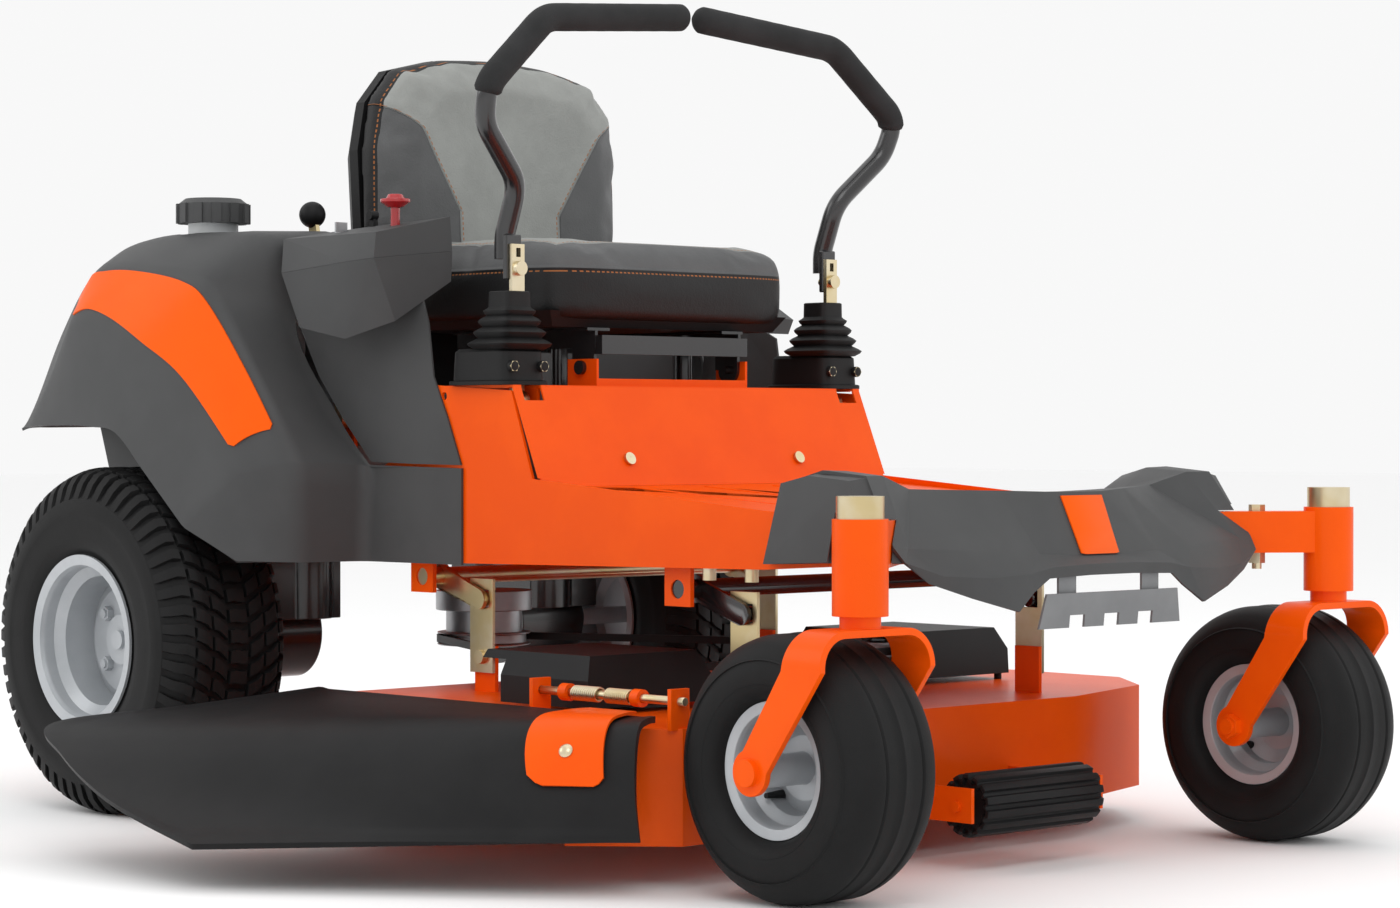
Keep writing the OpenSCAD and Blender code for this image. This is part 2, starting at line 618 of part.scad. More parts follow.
module seat_bracket() color(black) place() union() {
    // Side arms on the hinge pin, cross plates and the slotted rails under the shell
    both() {
        block([-ear_x - 3.5, tilt_y - 18, tilt_z], [-ear_x + 1, tilt_y + 24, seat_z - 8]);
        cyl_x(18, -ear_x - 3.5, -ear_x + 1, tilt_y, tilt_z);
        block([-ear_x - 3.5, tilt_y - 20, seat_z - 30], [-ear_x + 1, -290, seat_z - 8]);
        block([-ear_x - 12, -560, seat_z - 8], [-ear_x + 26, -290, seat_z - 4.2]);
        cyl_x(5, -ear_x - 13, -ear_x + 8, tilt_y, tilt_z);
        cyl_x(9, -ear_x - 14, -ear_x - 8.3, tilt_y, tilt_z);
    }
    block([-ear_x - 3, tilt_y - 33, seat_z - 38], [ear_x + 3, tilt_y - 20, seat_z - 14]);
    block([-ear_x, -320, seat_z - 30], [ear_x, -290, seat_z - 12]);
    // Stops that stand on the pan
    both() cyl_z(11, pan_z - 1 + side_gap, seat_z - 7, -110, -475);
}

// Outline of the back, from the side up to the middle of the top
back_outline = [[back_w - 10, seat_z + 62], [back_w, 880], [back_w - 12, 945], [back_w - 50, back_top - 24],
    [back_w - 128, back_top - 5], [0, back_top]];
module back_block(rings) wrap([for (r = rings, p = back_outline, s = [-1, 1])
    [s * p[0] * r[1], r[0], seat_z + 62 + (p[1] - seat_z - 62) * r[1]]]);

module seat_shell() color(black) place() union() {
    wrap([for (x = [-1, 1]) each [[x * (seat_w / 2 - 12), cushion_front + 22, seat_z + 16],
        [x * (seat_w / 2 - 26), cushion_front + 34, seat_z - 4], [x * (seat_w / 2 - 12), -205, seat_z + 16],
        [x * (seat_w / 2 - 26), -215, seat_z - 4]]]);
    wrap([for (x = [-1, 1]) each [[x * 195, -215, seat_z + 2], [x * 195, -165, seat_z + 2],
        [x * 195, -189, seat_z + 60], [x * 195, -160, seat_z + 90]]]);
    back_block([[-189.5, 0.99], [-172, 0.99], [-154, 0.94]]);
}

// Plain body of a cushion with rounded corners
module pad(x, y, z, r) hull() for (a = [-1, 1], b = [0, 1], c = [0, 1])
    translate([a * (x - r), y[b] + (b == 0 ? r : -r), z[c] + (c == 0 ? r : -r)]) sphere(r = r, $fn = 20);

module seat_cushion() color("#b4b6b4") place() difference() {
    pad(seat_w / 2, [cushion_front, -246], [seat_z + 4, seat_z + cushion_h], 24);
    block([-seat_w / 2, cushion_front + 20, seat_z - 10], [seat_w / 2, -200, seat_z + 16 + side_gap]);
}

module seat_backrest() color("#8b8d8d") place() back_block([[-242, 0.93], [-230, 0.99], [-190, 1]]);

// ---------------------------------------------------------------- lap bars
bar_path = rounded_path([[-lever_x - 4, -567, swing_z + 12], [-lever_x - 4, -567, swing_z + 40],
    [-lever_x - 4, -592, swing_z + 104],
    [-lever_x - 74, -613, swing_z + 172], [-lever_x - 82, -627, swing_z + 218],
    [-lever_x + 22, -614, swing_z + 309], [-grip_gap / 2 - 8, -606, swing_z + 329]], 55, 6);
function from_point(p, i) = [for (k = [i:len(p) - 1]) p[k]];
grip_path = from_point(bar_path, len(bar_path) - 14);

module lever_base() difference() {
    union() {
        block([-lever_x - lever_w / 2, lever_y - lever_t / 2, lever_pivot_z],
            [-lever_x + lever_w / 2, lever_y + lever_t / 2, swing_z + 30]);
        cyl_y(5, lever_y - lever_t / 2 - 6, lever_y + lever_t / 2 + 15, -lever_x, swing_z);
        cyl_y(9, lever_y - lever_t / 2 - 7, lever_y - lever_t / 2, -lever_x, swing_z);
        cyl_x(14, -lever_x - lever_w / 2, -lever_x + lever_w / 2, lever_y, lever_pivot_z);
    }
    cyl_x(6 + run_gap, -lever_x - 30, -lever_x + 30, lever_y, lever_pivot_z);
    // Adjusting slot above the pivot bolt
    block([-lever_x - 3.5, lever_y - 9, swing_z + 14], [-lever_x + 3.5, lever_y + 9, swing_z + 25]);
}
module lever_base_right() color(zinc) place() lever_base();
module lever_base_left() color(zinc) place() left() lever_base();

module lap_bar() union() {
    difference() {
        block([-lever_x - 14, lever_y + lever_t / 2 + side_gap, swing_z - 14],
            [-lever_x + 11, lever_y + lever_t / 2 + 8.3, swing_z + 42]);
        cyl_y(5 + run_gap, lever_y, lever_y + 20, -lever_x, swing_z);
    }
    sweep(bar_path, bar_d / 2, 14);
}
module lap_bar_right() color(black) place() lap_bar();
module lap_bar_left() color(black) place() left() lap_bar();

module grip() difference() {
    sweep(concat(grip_path, [[-grip_gap / 2, -605.8, swing_z + 329.4]]), grip_d / 2, 14);
    sweep(concat([grip_path[0] * 2 - grip_path[1]], from_point(grip_path, 1)), bar_d / 2 + 0.15, 14);
}
module grip_right() color("#2a2a2b") place() grip();
module grip_left() color("#2a2a2b") place() left() grip();

// Bellows boot: foot, folds and collar, hollow for the lever
boot_y = [-612, -492];
boot_x = [-lever_x - 40, -lever_x + 36];
pleats = [[612, 42, 42], [626, 36, 36], [640, 31, 31], [653, 26, 27]];
module boot() difference() {
    union() {
        block([boot_x[0], boot_y[0], pan_z - 1], [boot_x[1], boot_y[1], pan_z + 5]);
        block([boot_x[0] + 4, boot_y[0] + 4, pan_z], [boot_x[1] - 4, boot_y[1] - 6, pan_z + 46]);
        for (p = pleats) hull() {
            translate([-lever_x, -572, p[0]]) cube([p[1] * 2 - 10, p[2] * 2 - 10, 13.4], center = true);
            translate([-lever_x, -572, p[0]]) cube([p[1] * 2, p[2] * 2, 3], center = true);
        }
        translate([-lever_x, -572, 665]) cube([41, 41, 24], center = true);
    }
    block([-lever_x - 16, lever_y - 12, pan_z - 1], [-lever_x + 16, -560, 690]);
    block([-lever_x - 16, lever_y - 18, pan_z - 1], [-lever_x + 16, -540, 640]);
}
module boot_right() color(black) place() boot();
module boot_left() color(black) place() left() boot();

// ---------------------------------------------------------------- engine
crankcase_top = 560;
crankcase_end = 150;
// Places what belongs to a leaning cylinder
module lean() both() translate([-70, -20, 500]) rotate([0, -50, 0]) children();

module engine_block() color(steel) place() union() {
    block([-120, clutch_y - 100, 434], [120, crankcase_end, crankcase_top]);
    lean() {
        for (k = [0:5]) translate([-52, -60, 40 + k * 13]) cube([104, 120, 5]);
        translate([-44, -52, 0]) cube([88, 104, 112]);
    }
    cyl_z(14, belt_z - 14, 440, 0, clutch_y);
}

module engine_shroud() color(black) place() difference() {
    union() {
        cyl_z(130, crankcase_top, 640, 0, -30);
        cyl_z(104, 640, 668, 0, -30);
        block([-110, 60, crankcase_top], [110, 190, 650]);
    }
    lean() translate([-54, -62, -10]) cube([108, 124, 150]);
    for (r = [30:18:90]) translate([0, -30, 660]) difference() {
        cylinder(r = r + 5, h = 20);
        translate([0, 0, -1]) cylinder(r = r, h = 22);
    }
}

module muffler() color(steel) place() union() {
    cyl_x(52, -130, 130, 214, 500);
    both() cyl_y(14, crankcase_end, 190, -70, 500);
}

// ---------------------------------------------------------------- drive
module transaxle() {
    difference() {
        union() {
            block([-296, -90, 250], [-170, 90, 340]);
            cyl_x(62, -296, -180, 0, rear_r);
            // Pad under the rail
            block([-296, 20, 330], [-268, 80, rail_z + 14 - side_gap]);
            cyl_x(34, -322, -290, 0, rear_r);
            cyl_z(44, 250, 384, -215, -60);
        }
        cyl_x(axle_d / 2 + run_gap, -323, -240, 0, rear_r);
    }
    cyl_z(40, 393, 399, -215, -60);
    cyl_z(10, 380, 404, -215, -60);
}
module transaxle_right() color(black) place() union() transaxle();
module transaxle_left() color(black) place() left() union() transaxle();

// ---------------------------------------------------------------- wheels
// Half of a tyre's section: share of the section height and distance in from the side
bead_seat = 10.3;
function tyre_half(r, w, rim, bead, seat) = let (h = r - rim, s = [0.002, 0.14, 0.18, 0.34, 0.5, 0.68,
    0.8, 0.9, 0.965, 1], d = [seat, bead - 1, 0.45 * bead - 1, 0.5, 0, 3, 9, 17, 28, 44])
    [for (i = [0:len(s) - 1]) [rim + h * s[i], w / 2 - d[i]]];
function flip_x(p) = [for (i = [len(p) - 1:-1:0]) [p[i][0], -p[i][1]]];

module tyre(r, w, rim, bead, half, wall) {
    seat = w / 2 - half + bead_seat;
    outer = tyre_half(r, w, rim, bead, seat);
    inner = [for (q = tyre_half(r - wall, w - 2 * wall, rim, bead, seat)) [max(q[0], rim + 0.2),
        max(q[1], 14)]];
    difference() {
        polygon(concat(outer, flip_x(outer)));
        polygon(concat([[rim - 5, inner[0][1]]], inner, flip_x(inner), [[rim - 5, -inner[0][1]]]));
    }
}

// Section of a pressed wheel: flanges, bead seats, well, disc and hub
function rim_section(rim, flange, half, well, disc, t, hub, hub_half, bore) = [
    [flange, half], [flange, half - 4], [rim + 2.5, half - 6], [rim, half - 10], [rim, half - 24],
    [rim - well, half - 34], [rim - well, 34 - half], [rim, 24 - half], [rim, 10 - half],
    [rim + 2.5, 6 - half], [flange, 4 - half], [flange, -half], [rim - 1, 2 - half],
    [rim - t, 10 - half], [rim - t, 22 - half], [rim - well - t, 32 - half],
    [rim - well - t, disc - t - 8], [rim - well - t - 16, disc - t], each hub_half > 0
        ? [[hub, disc - t], [hub, -hub_half], [bore, -hub_half], [bore, hub_half], [hub, hub_half],
            [hub, disc]]
        : [[bore, disc - t], [bore, disc]],
    [rim - well - t - 15, disc], [rim - well - t, disc - 8], [rim - well - t, half - 32],
    [rim - t, half - 22], [rim - t, half - 10], [rim - 1, half - 2]];

// Wheel parts are turned about X with their outer face towards -X
module wheel_at(x, y, z) translate([-x, y, z]) rotate([0, -90, 0]) rotate_extrude($fn = 96) children();

rear_half = rear_tyre_w / 2 - 3;
rear_disc = 24;
lug_r = 47;
pilot_r = 33;

module rear_tyre() wheel_at(rear_x, 0, rear_r)
    tyre(rear_r, rear_tyre_w, rear_rim_d / 2, 10, rear_half, 10);
module rear_tyre_right() color("#222223") place() rear_tyre();
module rear_tyre_left() color("#222223") place() left() rear_tyre();

module rear_rim() {
    difference() {
        wheel_at(rear_x, 0, rear_r)
            polygon(rim_section(rear_rim_d / 2, rear_rim_d / 2 + 12.5, rear_half, 12.5, rear_disc, 4,
                0, 0, pilot_r + 0.1));
        for (a = [45:90:315]) cyl_x(6.4, -rear_x - 40, -rear_x - 10,
            lug_r * cos(a), rear_r + lug_r * sin(a));
    }
    // Hub with its shaft and four studs
    union() {
        cyl_x(axle_d / 2, -rear_x - rear_disc - 12, -244, 0, rear_r);
        cyl_x(pilot_r, -rear_x - rear_disc - 6, -rear_x - rear_disc + 10, 0, rear_r);
        cyl_x(60, -rear_x - rear_disc + 4, -rear_x - rear_disc + 18, 0, rear_r);
        for (a = [45:90:315]) translate([-rear_x - rear_disc, lug_r * cos(a), rear_r + lug_r * sin(a)]) {
            cyl_x(6, -12, 6);
            rotate([0, -90, 0]) cylinder(r = 10, h = 9, $fn = 6);
        }
    }
}
module rear_rim_right() color(silver) place() rear_rim();
module rear_rim_left() color(silver) place() left() rear_rim();

front_half = 52;
wheel_y = swivel_y + caster_trail;
hub_half = fork_in - side_gap;

module front_tyre() wheel_at(front_x, wheel_y, front_r)
    tyre(front_r, front_tyre_w, front_rim_d / 2, front_tyre_w / 2 - front_half + 7, front_half, 9);
module front_tyre_right() color("#222223") place() front_tyre();
module front_tyre_left() color("#222223") place() left() front_tyre();

module front_rim() wheel_at(front_x, wheel_y, front_r)
    polygon(rim_section(front_rim_d / 2, front_rim_d / 2 + 10.5, front_half, 10, 6, 3.5,
        axle_bolt_d / 2 + 8, hub_half, axle_bolt_d / 2 + run_gap));
module front_rim_right() color(silver) place() front_rim();
module front_rim_left() color(silver) place() left() front_rim();

// Fork: strap bent over the tyre, with the stem welded on top and the axle bolt through its eyes
bend_r = 32;
leg_outline = [[swivel_y - strap_w / 2, fork_top], [swivel_y - strap_w / 2 - 2, fork_top - 42],
    [wheel_y - strap_w / 2, front_r], [wheel_y + strap_w / 2, front_r],
    [swivel_y + strap_w / 2 + 6, fork_top - 42], [swivel_y + strap_w / 2, fork_top]];

// Arch seen from the front, with its upper corners rounded
module arch(half, top, r) {
    translate([-half, 0]) square([2 * half, top - r]);
    translate([r - half, 0]) square([2 * (half - r), top]);
    for (x = [r - half, half - r]) translate([x, top - r]) circle(r = r);
}

module caster_fork() {
    difference() {
        union() {
            intersection() {
                translate([-front_x, swivel_y + 200, 0]) rotate([90, 0, 0]) linear_extrude(400)
                    difference() {
                    arch(fork_in + strap_t, fork_top, bend_r + strap_t);
                    arch(fork_in, fork_top - strap_t, bend_r);
                }
                union() {
                    side_plate(leg_outline, -front_x - 2 * fork_in, -front_x + 2 * fork_in);
                    cyl_x(strap_w / 2, -front_x - 2 * fork_in, -front_x + 2 * fork_in, wheel_y, front_r);
                }
            }
            cyl_z(22, fork_top - 1, barrel_z - side_gap, -front_x, swivel_y);
            cyl_z(stem_d / 2, barrel_z - 2, barrel_top + cap_h - 8, -front_x, swivel_y);
            cyl_z(20, barrel_top + side_gap, barrel_top + 10, -front_x, swivel_y);
        }
        cyl_x(axle_bolt_d / 2, -front_x - fork_in - 20, -front_x + fork_in + 20, wheel_y, front_r);
    }
    union() {
        cyl_x(axle_bolt_d / 2, -front_x - fork_in - strap_t - 1, -front_x + fork_in + strap_t + 14,
            wheel_y, front_r);
        cyl_x(15, -front_x - fork_in - strap_t - 7, -front_x - fork_in - strap_t, wheel_y, front_r);
        translate([-front_x + fork_in + strap_t, wheel_y, front_r]) rotate([0, 90, 0])
            cylinder(r = 15, h = 11, $fn = 6);
    }
}
module caster_fork_right() color(orange) place() caster_fork();
module caster_fork_left() color(orange) place() left() caster_fork();

// Dust caps over the stems, panel screws, axle bolts and boot bolts
module dust_cap() translate([-front_x, swivel_y, barrel_top]) difference() {
    cylinder(r = 25.7, h = cap_h);
    translate([0, 0, -1]) cylinder(r = 24.2, h = cap_h - 0.5);
}

module caps_and_bolts() color(zinc) place() {
    both() {
        dust_cap();
        // Screw in the front panel
        translate([-149, -651.8, 469.2]) rotate([66.7, 0, 0]) cylinder(r = 8, h = 4);
        cyl_y(4, -655, -640, -149, 469);
        // Bolt through the axle arm
        cyl_z(6, arm_z - 20, arm_z + axle_tube_h + 2, -340, swivel_y + 54);
        translate([-340, swivel_y + 54, arm_z + axle_tube_h]) cylinder(r = 10, h = 8, $fn = 6);
        translate([-340, swivel_y + 54, arm_z - 13]) cylinder(r = 10, h = 13, $fn = 6);
        // Boot bolts
        for (x = [boot_x[0] + 14, boot_x[1] - 14]) translate([x, boot_y[0] + 4, 584]) rotate([90, 0, 0])
            cylinder(r = 7, h = 5, $fn = 6);
        // Nuts under the rail
        for (y = [-1010, -940]) cyl_z(8, rail_z - 8, rail_z + 14, -frame_half_w + 20, y);
    }
}

// ---------------------------------------------------------------- cutting deck
deck_outline = [[-430, deck_front], [237, deck_front], [440, deck_front + 65], [528, -880], [528, -505],
    [430, -372], [-400, -372], [-525, -505], [-525, -950]];
discharge_y = [-955, -510];

module deck_shell() color(orange) place() {
    difference() {
        union() {
            difference() {
                translate([0, 0, deck_z]) linear_extrude(deck_h) polygon(deck_outline);
                translate([0, 0, deck_z - 1]) linear_extrude(deck_h - deck_t + 1)
                    offset(delta = -deck_t) polygon(deck_outline);
                // Discharge opening on the right
                block([-560, discharge_y[0], deck_z - 1], [-500, discharge_y[1], deck_top - 14]);
            }
            // Roller arms and the chute rod's lugs
            both() block([-roller_l / 2 - 10, roller_y - 22, roller_z - 18],
                [-roller_l / 2 - 5, deck_front + 2, roller_z + 22]);
            for (y = rod_y) block([rod_x - 14, y, deck_top - 2], [rod_x + 14, y + 6, rod_z + 14]);
            // Hanger lugs
            both() for (y = lift_shaft_ys)
                block([-hanger_x + 2.3, y + pin_dy - 20, deck_top - 2],
                [-hanger_x + 8, y + pin_dy + 20, deck_top + 58]);
        }
        cyl_y(rod_d / 2 + run_gap, -1100, -700, rod_x, rod_z);
        cyl_x(6, -160, 160, roller_y, roller_z);
        for (s = [-1, 1]) cyl_z(36, deck_top - 20, deck_top + 5, s * spindle_x, spindle_y(s));
    }
    // Fixed pin of the roller
    cyl_x(6, -roller_l / 2 - 14, roller_l / 2 + 14, roller_y, roller_z);
}
function spindle_y(s) = spindle_ys[s < 0 ? 0 : 1];
rod_y = [-1046, -812];

chute_rows = [
    [[-462, -1040, 184], [-484, -1052, 184], [-506, -1064, 178], [-520, -1074, 150],
        [-526, -1080, 106], [-524, -1084, 62]],
    [[-464, -900, 184], [-514, -900, 184], [-566, -900, 178], [-596, -916, 150], [-612, -950, 100],
        [-606, -986, 58]],
    [[-466, -740, 184], [-550, -730, 182], [-638, -716, 171], [-676, -738, 144], [-696, -800, 92],
        [-684, -890, 54]],
    [[-468, -590, 184], [-590, -556, 177], [-710, -520, 162], [-754, -552, 136], [-774, -650, 88],
        [-762, -795, 50]],
    [[-470, -440, 184], [-620, -376, 166], [-766, -313, 150], [-812, -400, 124], [-838, -540, 82],
        [-838, -700, 46]]];

module chute() color(black) place() {
    sheet(smooth_rows(chute_rows, 2), chute_lip);
    // Hinge leaf: strap round the rod, lying on the chute
    color(orange) union() {
        difference() {
            cyl_y(10, -985, -850, rod_x, rod_z);
            cyl_y(rod_d / 2 + run_gap, -1000, -840, rod_x, rod_z);
            block([rod_x - 12, -972, rod_z - 12], [rod_x + 12, -863, rod_z + 12]);
        }
        for (y = [[-985, -972], [-863, -850]])
            wrap([[rod_x - 8, y[0], rod_z + 6], [rod_x - 8, y[1], rod_z + 6],
            [rod_x - 8, y[0], rod_z + 2], [rod_x - 8, y[1], rod_z + 2], [-482, y[0], 190],
                [-482, y[1], 190],
            [-484, y[0], 186.5], [-484, y[1], 186.5]]);
    }
}

// Rod of the chute hinge with its two torsion springs
module chute_rod() color(zinc) place() {
    cyl_y(rod_d / 2, rod_y[0] - 8, rod_y[1] + 14, rod_x, rod_z);
    for (y = [[-968, -925], [-915, -868]]) difference() {
        cyl_y(9, y[0], y[1], rod_x, rod_z);
        cyl_y(rod_d / 2 + 0.2, y[0] - 1, y[1] + 1, rod_x, rod_z);
    }
}

// Covers over the spindle pulleys, each in two halves
cover_out = 45;
module belt_cover(s) translate([s * (spindle_x + cover_out), spindle_y(s), 0]) difference() {
    wrap([for (x = [-98, 98])
        each [[x, -98, deck_top + 8], [x, 112, deck_top + 8], [0.86 * x, -84, deck_top + 68],
        [0.86 * x, 100, deck_top + 68], [x, -96, deck_top + 40], [x, 110, deck_top + 40]]]);
    wrap([for (x = [-95, 95])
        each [[x, -95, deck_top + 4], [x, 109, deck_top + 4], [0.86 * x, -81, deck_top + 65],
        [0.86 * x, 97, deck_top + 65], [x, -93, deck_top + 40], [x, 107, deck_top + 40]]]);
    // Belt openings
    block([-110, 60, deck_top - 2], [110, 130, belt_z + 14]);
    block([s > 0 ? -110 : 40, -85, belt_z - 16], [s > 0 ? -40 : 110, 90, belt_z + 14]);
}
module belt_covers() color(black) place() for (s = [-1, 1]) {
    belt_cover(s);
    for (x = [-88, 88]) translate([s * (spindle_x + cover_out), spindle_y(s), 0])
        cyl_z(5, deck_top, deck_top + 40, x * 0.98, -89);
}

// Bearing housings on the deck
housing_top = belt_z - 14;
module spindle_housing(s) translate([s * spindle_x, spindle_y(s), 0]) difference() {
    union() {
        cyl_z(62, deck_top, deck_top + 7);
        cyl_z(35.5, deck_top - 44, housing_top);
        for (a = [45:90:315]) cyl_z(7, deck_top + 6, deck_top + 13, 52 * cos(a), 52 * sin(a));
    }
    cyl_z(spindle_d / 2 + run_gap, deck_top - 60, housing_top + 10);
}
module spindle_housings() color(steel) place() for (s = [-1, 1]) spindle_housing(s);

pulley_r = 64;
groove_r = 58;
blade_w = 58;
module pulley_at(z) rotate_extrude($fn = 96) polygon([[5, z - 9], [pulley_r, z - 9], [pulley_r, z - 6.5],
    [groove_r, z - 6], [groove_r, z + 6], [pulley_r, z + 6.5], [pulley_r, z + 9], [5, z + 9]]);
module blade_spindle(s) translate([s * spindle_x, spindle_y(s), 0]) {
    union() {
        cyl_z(spindle_d / 2, blade_z - 14, belt_z + 20);
        pulley_at(belt_z);
        translate([0, 0, belt_z + 8.5]) cylinder(r = 17, h = 9, $fn = 6);
        cyl_z(24, blade_z + 5, deck_top - 45);
    }
    difference() {
        union() {
            block([-blade_l / 2, -blade_w / 2, blade_z], [blade_l / 2, blade_w / 2, blade_z + 5]);
            // Raised trailing wings
            for (a = [0, 180]) rotate([0, 0, a])
                wrap([[blade_l / 2 - 90, 16, blade_z + 1], [blade_l / 2 - 90, 16, blade_z + 5],
                [blade_l / 2, 16, blade_z + 1], [blade_l / 2, 16, blade_z + 5],
                [blade_l / 2 - 80, blade_w / 2, blade_z + 18], [blade_l / 2, blade_w / 2, blade_z + 18],
                [blade_l / 2 - 80, blade_w / 2, blade_z + 22], [blade_l / 2, blade_w / 2, blade_z + 22]]);
        }
        cyl_z(spindle_d / 2, blade_z - 20, blade_z + 40);
    }
    difference() {
        translate([0, 0, blade_z - 14]) cylinder(r = 18, h = 14, $fn = 6);
        cyl_z(spindle_d / 2, blade_z - 20, blade_z + 40);
    }
}
module blade_spindle_right() color(steel) place() blade_spindle(-1);
module blade_spindle_left() color(steel) place() blade_spindle(1);

// Belt round both spindle pulleys and the clutch pulley
module belt_loop(r) hull() {
    for (s = [-1, 1]) translate([s * spindle_x, spindle_y(s)]) circle(r = r, $fn = 60);
    translate([0, clutch_y]) circle(r = r, $fn = 60);
}
module belt() color(black) place() translate([0, 0, belt_z - 5]) linear_extrude(10) difference() {
    belt_loop(groove_r + 7);
    belt_loop(groove_r + 0.5);
}

module clutch() color(steel) place() translate([0, clutch_y, 0]) difference() {
    union() {
        pulley_at(belt_z);
        cyl_z(52, belt_z + 8.5, belt_z + 40);
        cyl_z(66, belt_z + 39, belt_z + 66);
    }
    cyl_z(14 + run_gap, belt_z - 20, belt_z + 80);
}

module front_roller() color(black) place() difference() {
    turned_x([[3, -roller_l / 2 + 4], [roller_d / 2 - 5, -roller_l / 2 + 4],
        [roller_d / 2, -roller_l / 2 + 9],
        [roller_d / 2, roller_l / 2 - 9], [roller_d / 2 - 5, roller_l / 2 - 4], [3, roller_l / 2 - 4]],
            0, roller_y, roller_z);
    cyl_x(6 + run_gap, -roller_l, roller_l, roller_y, roller_z);
}

// Deck lift: two cross shafts with arms whose pins carry the slotted hangers
arm_l = 80;
lift_tilt = 20;
shaft_z = rail_z - 20;
lift_shaft_ys = [-890, -415];
hanger_x = 250;
module lift_arms(y) translate([0, y, shaft_z]) {
    cyl_x(11, -plate_in + 14, plate_in - 14);
    both() {
        rotate([lift_tilt, 0, 0]) {
            translate([-hanger_x - 10.5, -arm_l, -13]) cube([6, arm_l, 26]);
            cyl_x(13, -hanger_x - 10.5, -hanger_x - 4.5, -arm_l, 0);
            cyl_x(6, -hanger_x - 10.4, -hanger_x + 6, -arm_l, 0);
            cyl_x(9, -hanger_x + 3, -hanger_x + 7, -arm_l, 0);
        }
        cyl_x(17, -hanger_x - 10.5, -hanger_x - 4.5);
    }
}
module lift_shaft() color(zinc) place() union() lift_arms(lift_shaft_ys[1]);
module front_lift_arms() color(black) place() union() lift_arms(lift_shaft_ys[0]);

// Hangers bolted to the deck lugs
pin_dy = -arm_l * cos(lift_tilt);
pin_dz = -arm_l * sin(lift_tilt);
module deck_hangers() color(zinc) place() both() for (y = lift_shaft_ys) difference() {
    union() {
        block([-hanger_x - 2.3, y + pin_dy - 20, deck_top + 24],
            [-hanger_x + 2.3, y + pin_dy + 24, shaft_z + pin_dz + 26]);
        cyl_x(9, -hanger_x - 9, -hanger_x - 2.2, y + pin_dy, deck_top + 44);
    }
    block([-hanger_x - 3, y + pin_dy - 12.5, shaft_z + pin_dz - 10],
        [-hanger_x + 3, y + pin_dy + 13, shaft_z + pin_dz + 12]);
}

main_frame();
front_panel();
footplate();
front_axle();
front_cover();
trim_panels();
step_plate();
rear_fender_right();
rear_fender_left();
side_covers();
console();
console_lid();
fuel_tank();
fuel_cap();
pto_knob();
ignition_key();
throttle_lever();
height_lever();
seat_hinge();
seat_bracket();
seat_shell();
seat_cushion();
seat_backrest();
lever_base_right();
lever_base_left();
lap_bar_right();
lap_bar_left();
grip_right();
grip_left();
boot_right();
boot_left();
engine_block();
engine_shroud();
muffler();
transaxle_right();
transaxle_left();
rear_rim_right();
rear_rim_left();
rear_tyre_right();
rear_tyre_left();
caster_fork_right();
caster_fork_left();
front_rim_right();
front_rim_left();
front_tyre_right();
front_tyre_left();
caps_and_bolts();
deck_shell();
chute();
chute_rod();
belt_covers();
spindle_housings();
blade_spindle_right();
blade_spindle_left();
belt();
clutch();
front_roller();
lift_shaft();
front_lift_arms();
deck_hangers();
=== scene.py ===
import bpy, bmesh, json, math
from mathutils import Vector, Matrix


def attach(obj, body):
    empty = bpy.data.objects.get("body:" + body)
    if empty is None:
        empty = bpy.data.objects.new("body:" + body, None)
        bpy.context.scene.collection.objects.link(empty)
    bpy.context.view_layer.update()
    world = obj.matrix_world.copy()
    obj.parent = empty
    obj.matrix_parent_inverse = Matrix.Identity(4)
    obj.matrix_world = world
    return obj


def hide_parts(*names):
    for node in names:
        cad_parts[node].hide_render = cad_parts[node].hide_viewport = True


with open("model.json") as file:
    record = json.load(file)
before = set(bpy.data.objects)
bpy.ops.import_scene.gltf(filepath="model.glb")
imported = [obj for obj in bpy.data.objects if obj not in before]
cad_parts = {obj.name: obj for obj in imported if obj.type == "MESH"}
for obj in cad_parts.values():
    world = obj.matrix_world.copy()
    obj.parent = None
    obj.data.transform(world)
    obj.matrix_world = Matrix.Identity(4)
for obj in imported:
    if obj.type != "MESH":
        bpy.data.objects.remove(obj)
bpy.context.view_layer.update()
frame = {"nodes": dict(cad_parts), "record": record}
print("frame loaded")

# machine axes in millimetres to the frame in metres
shift = {"x": 154.75, "y": 520.0}


def at(x, y, z):
    return Vector(((x + shift["x"]) / 1000, (y + shift["y"]) / 1000, z / 1000))


bodyOf = {n: b for b, names in frame["record"]["behaviour"]["bodies"].items() for n in names}
slotOf = {s["node"]: s["material_slot"] for s in frame["record"]["subparts"]}


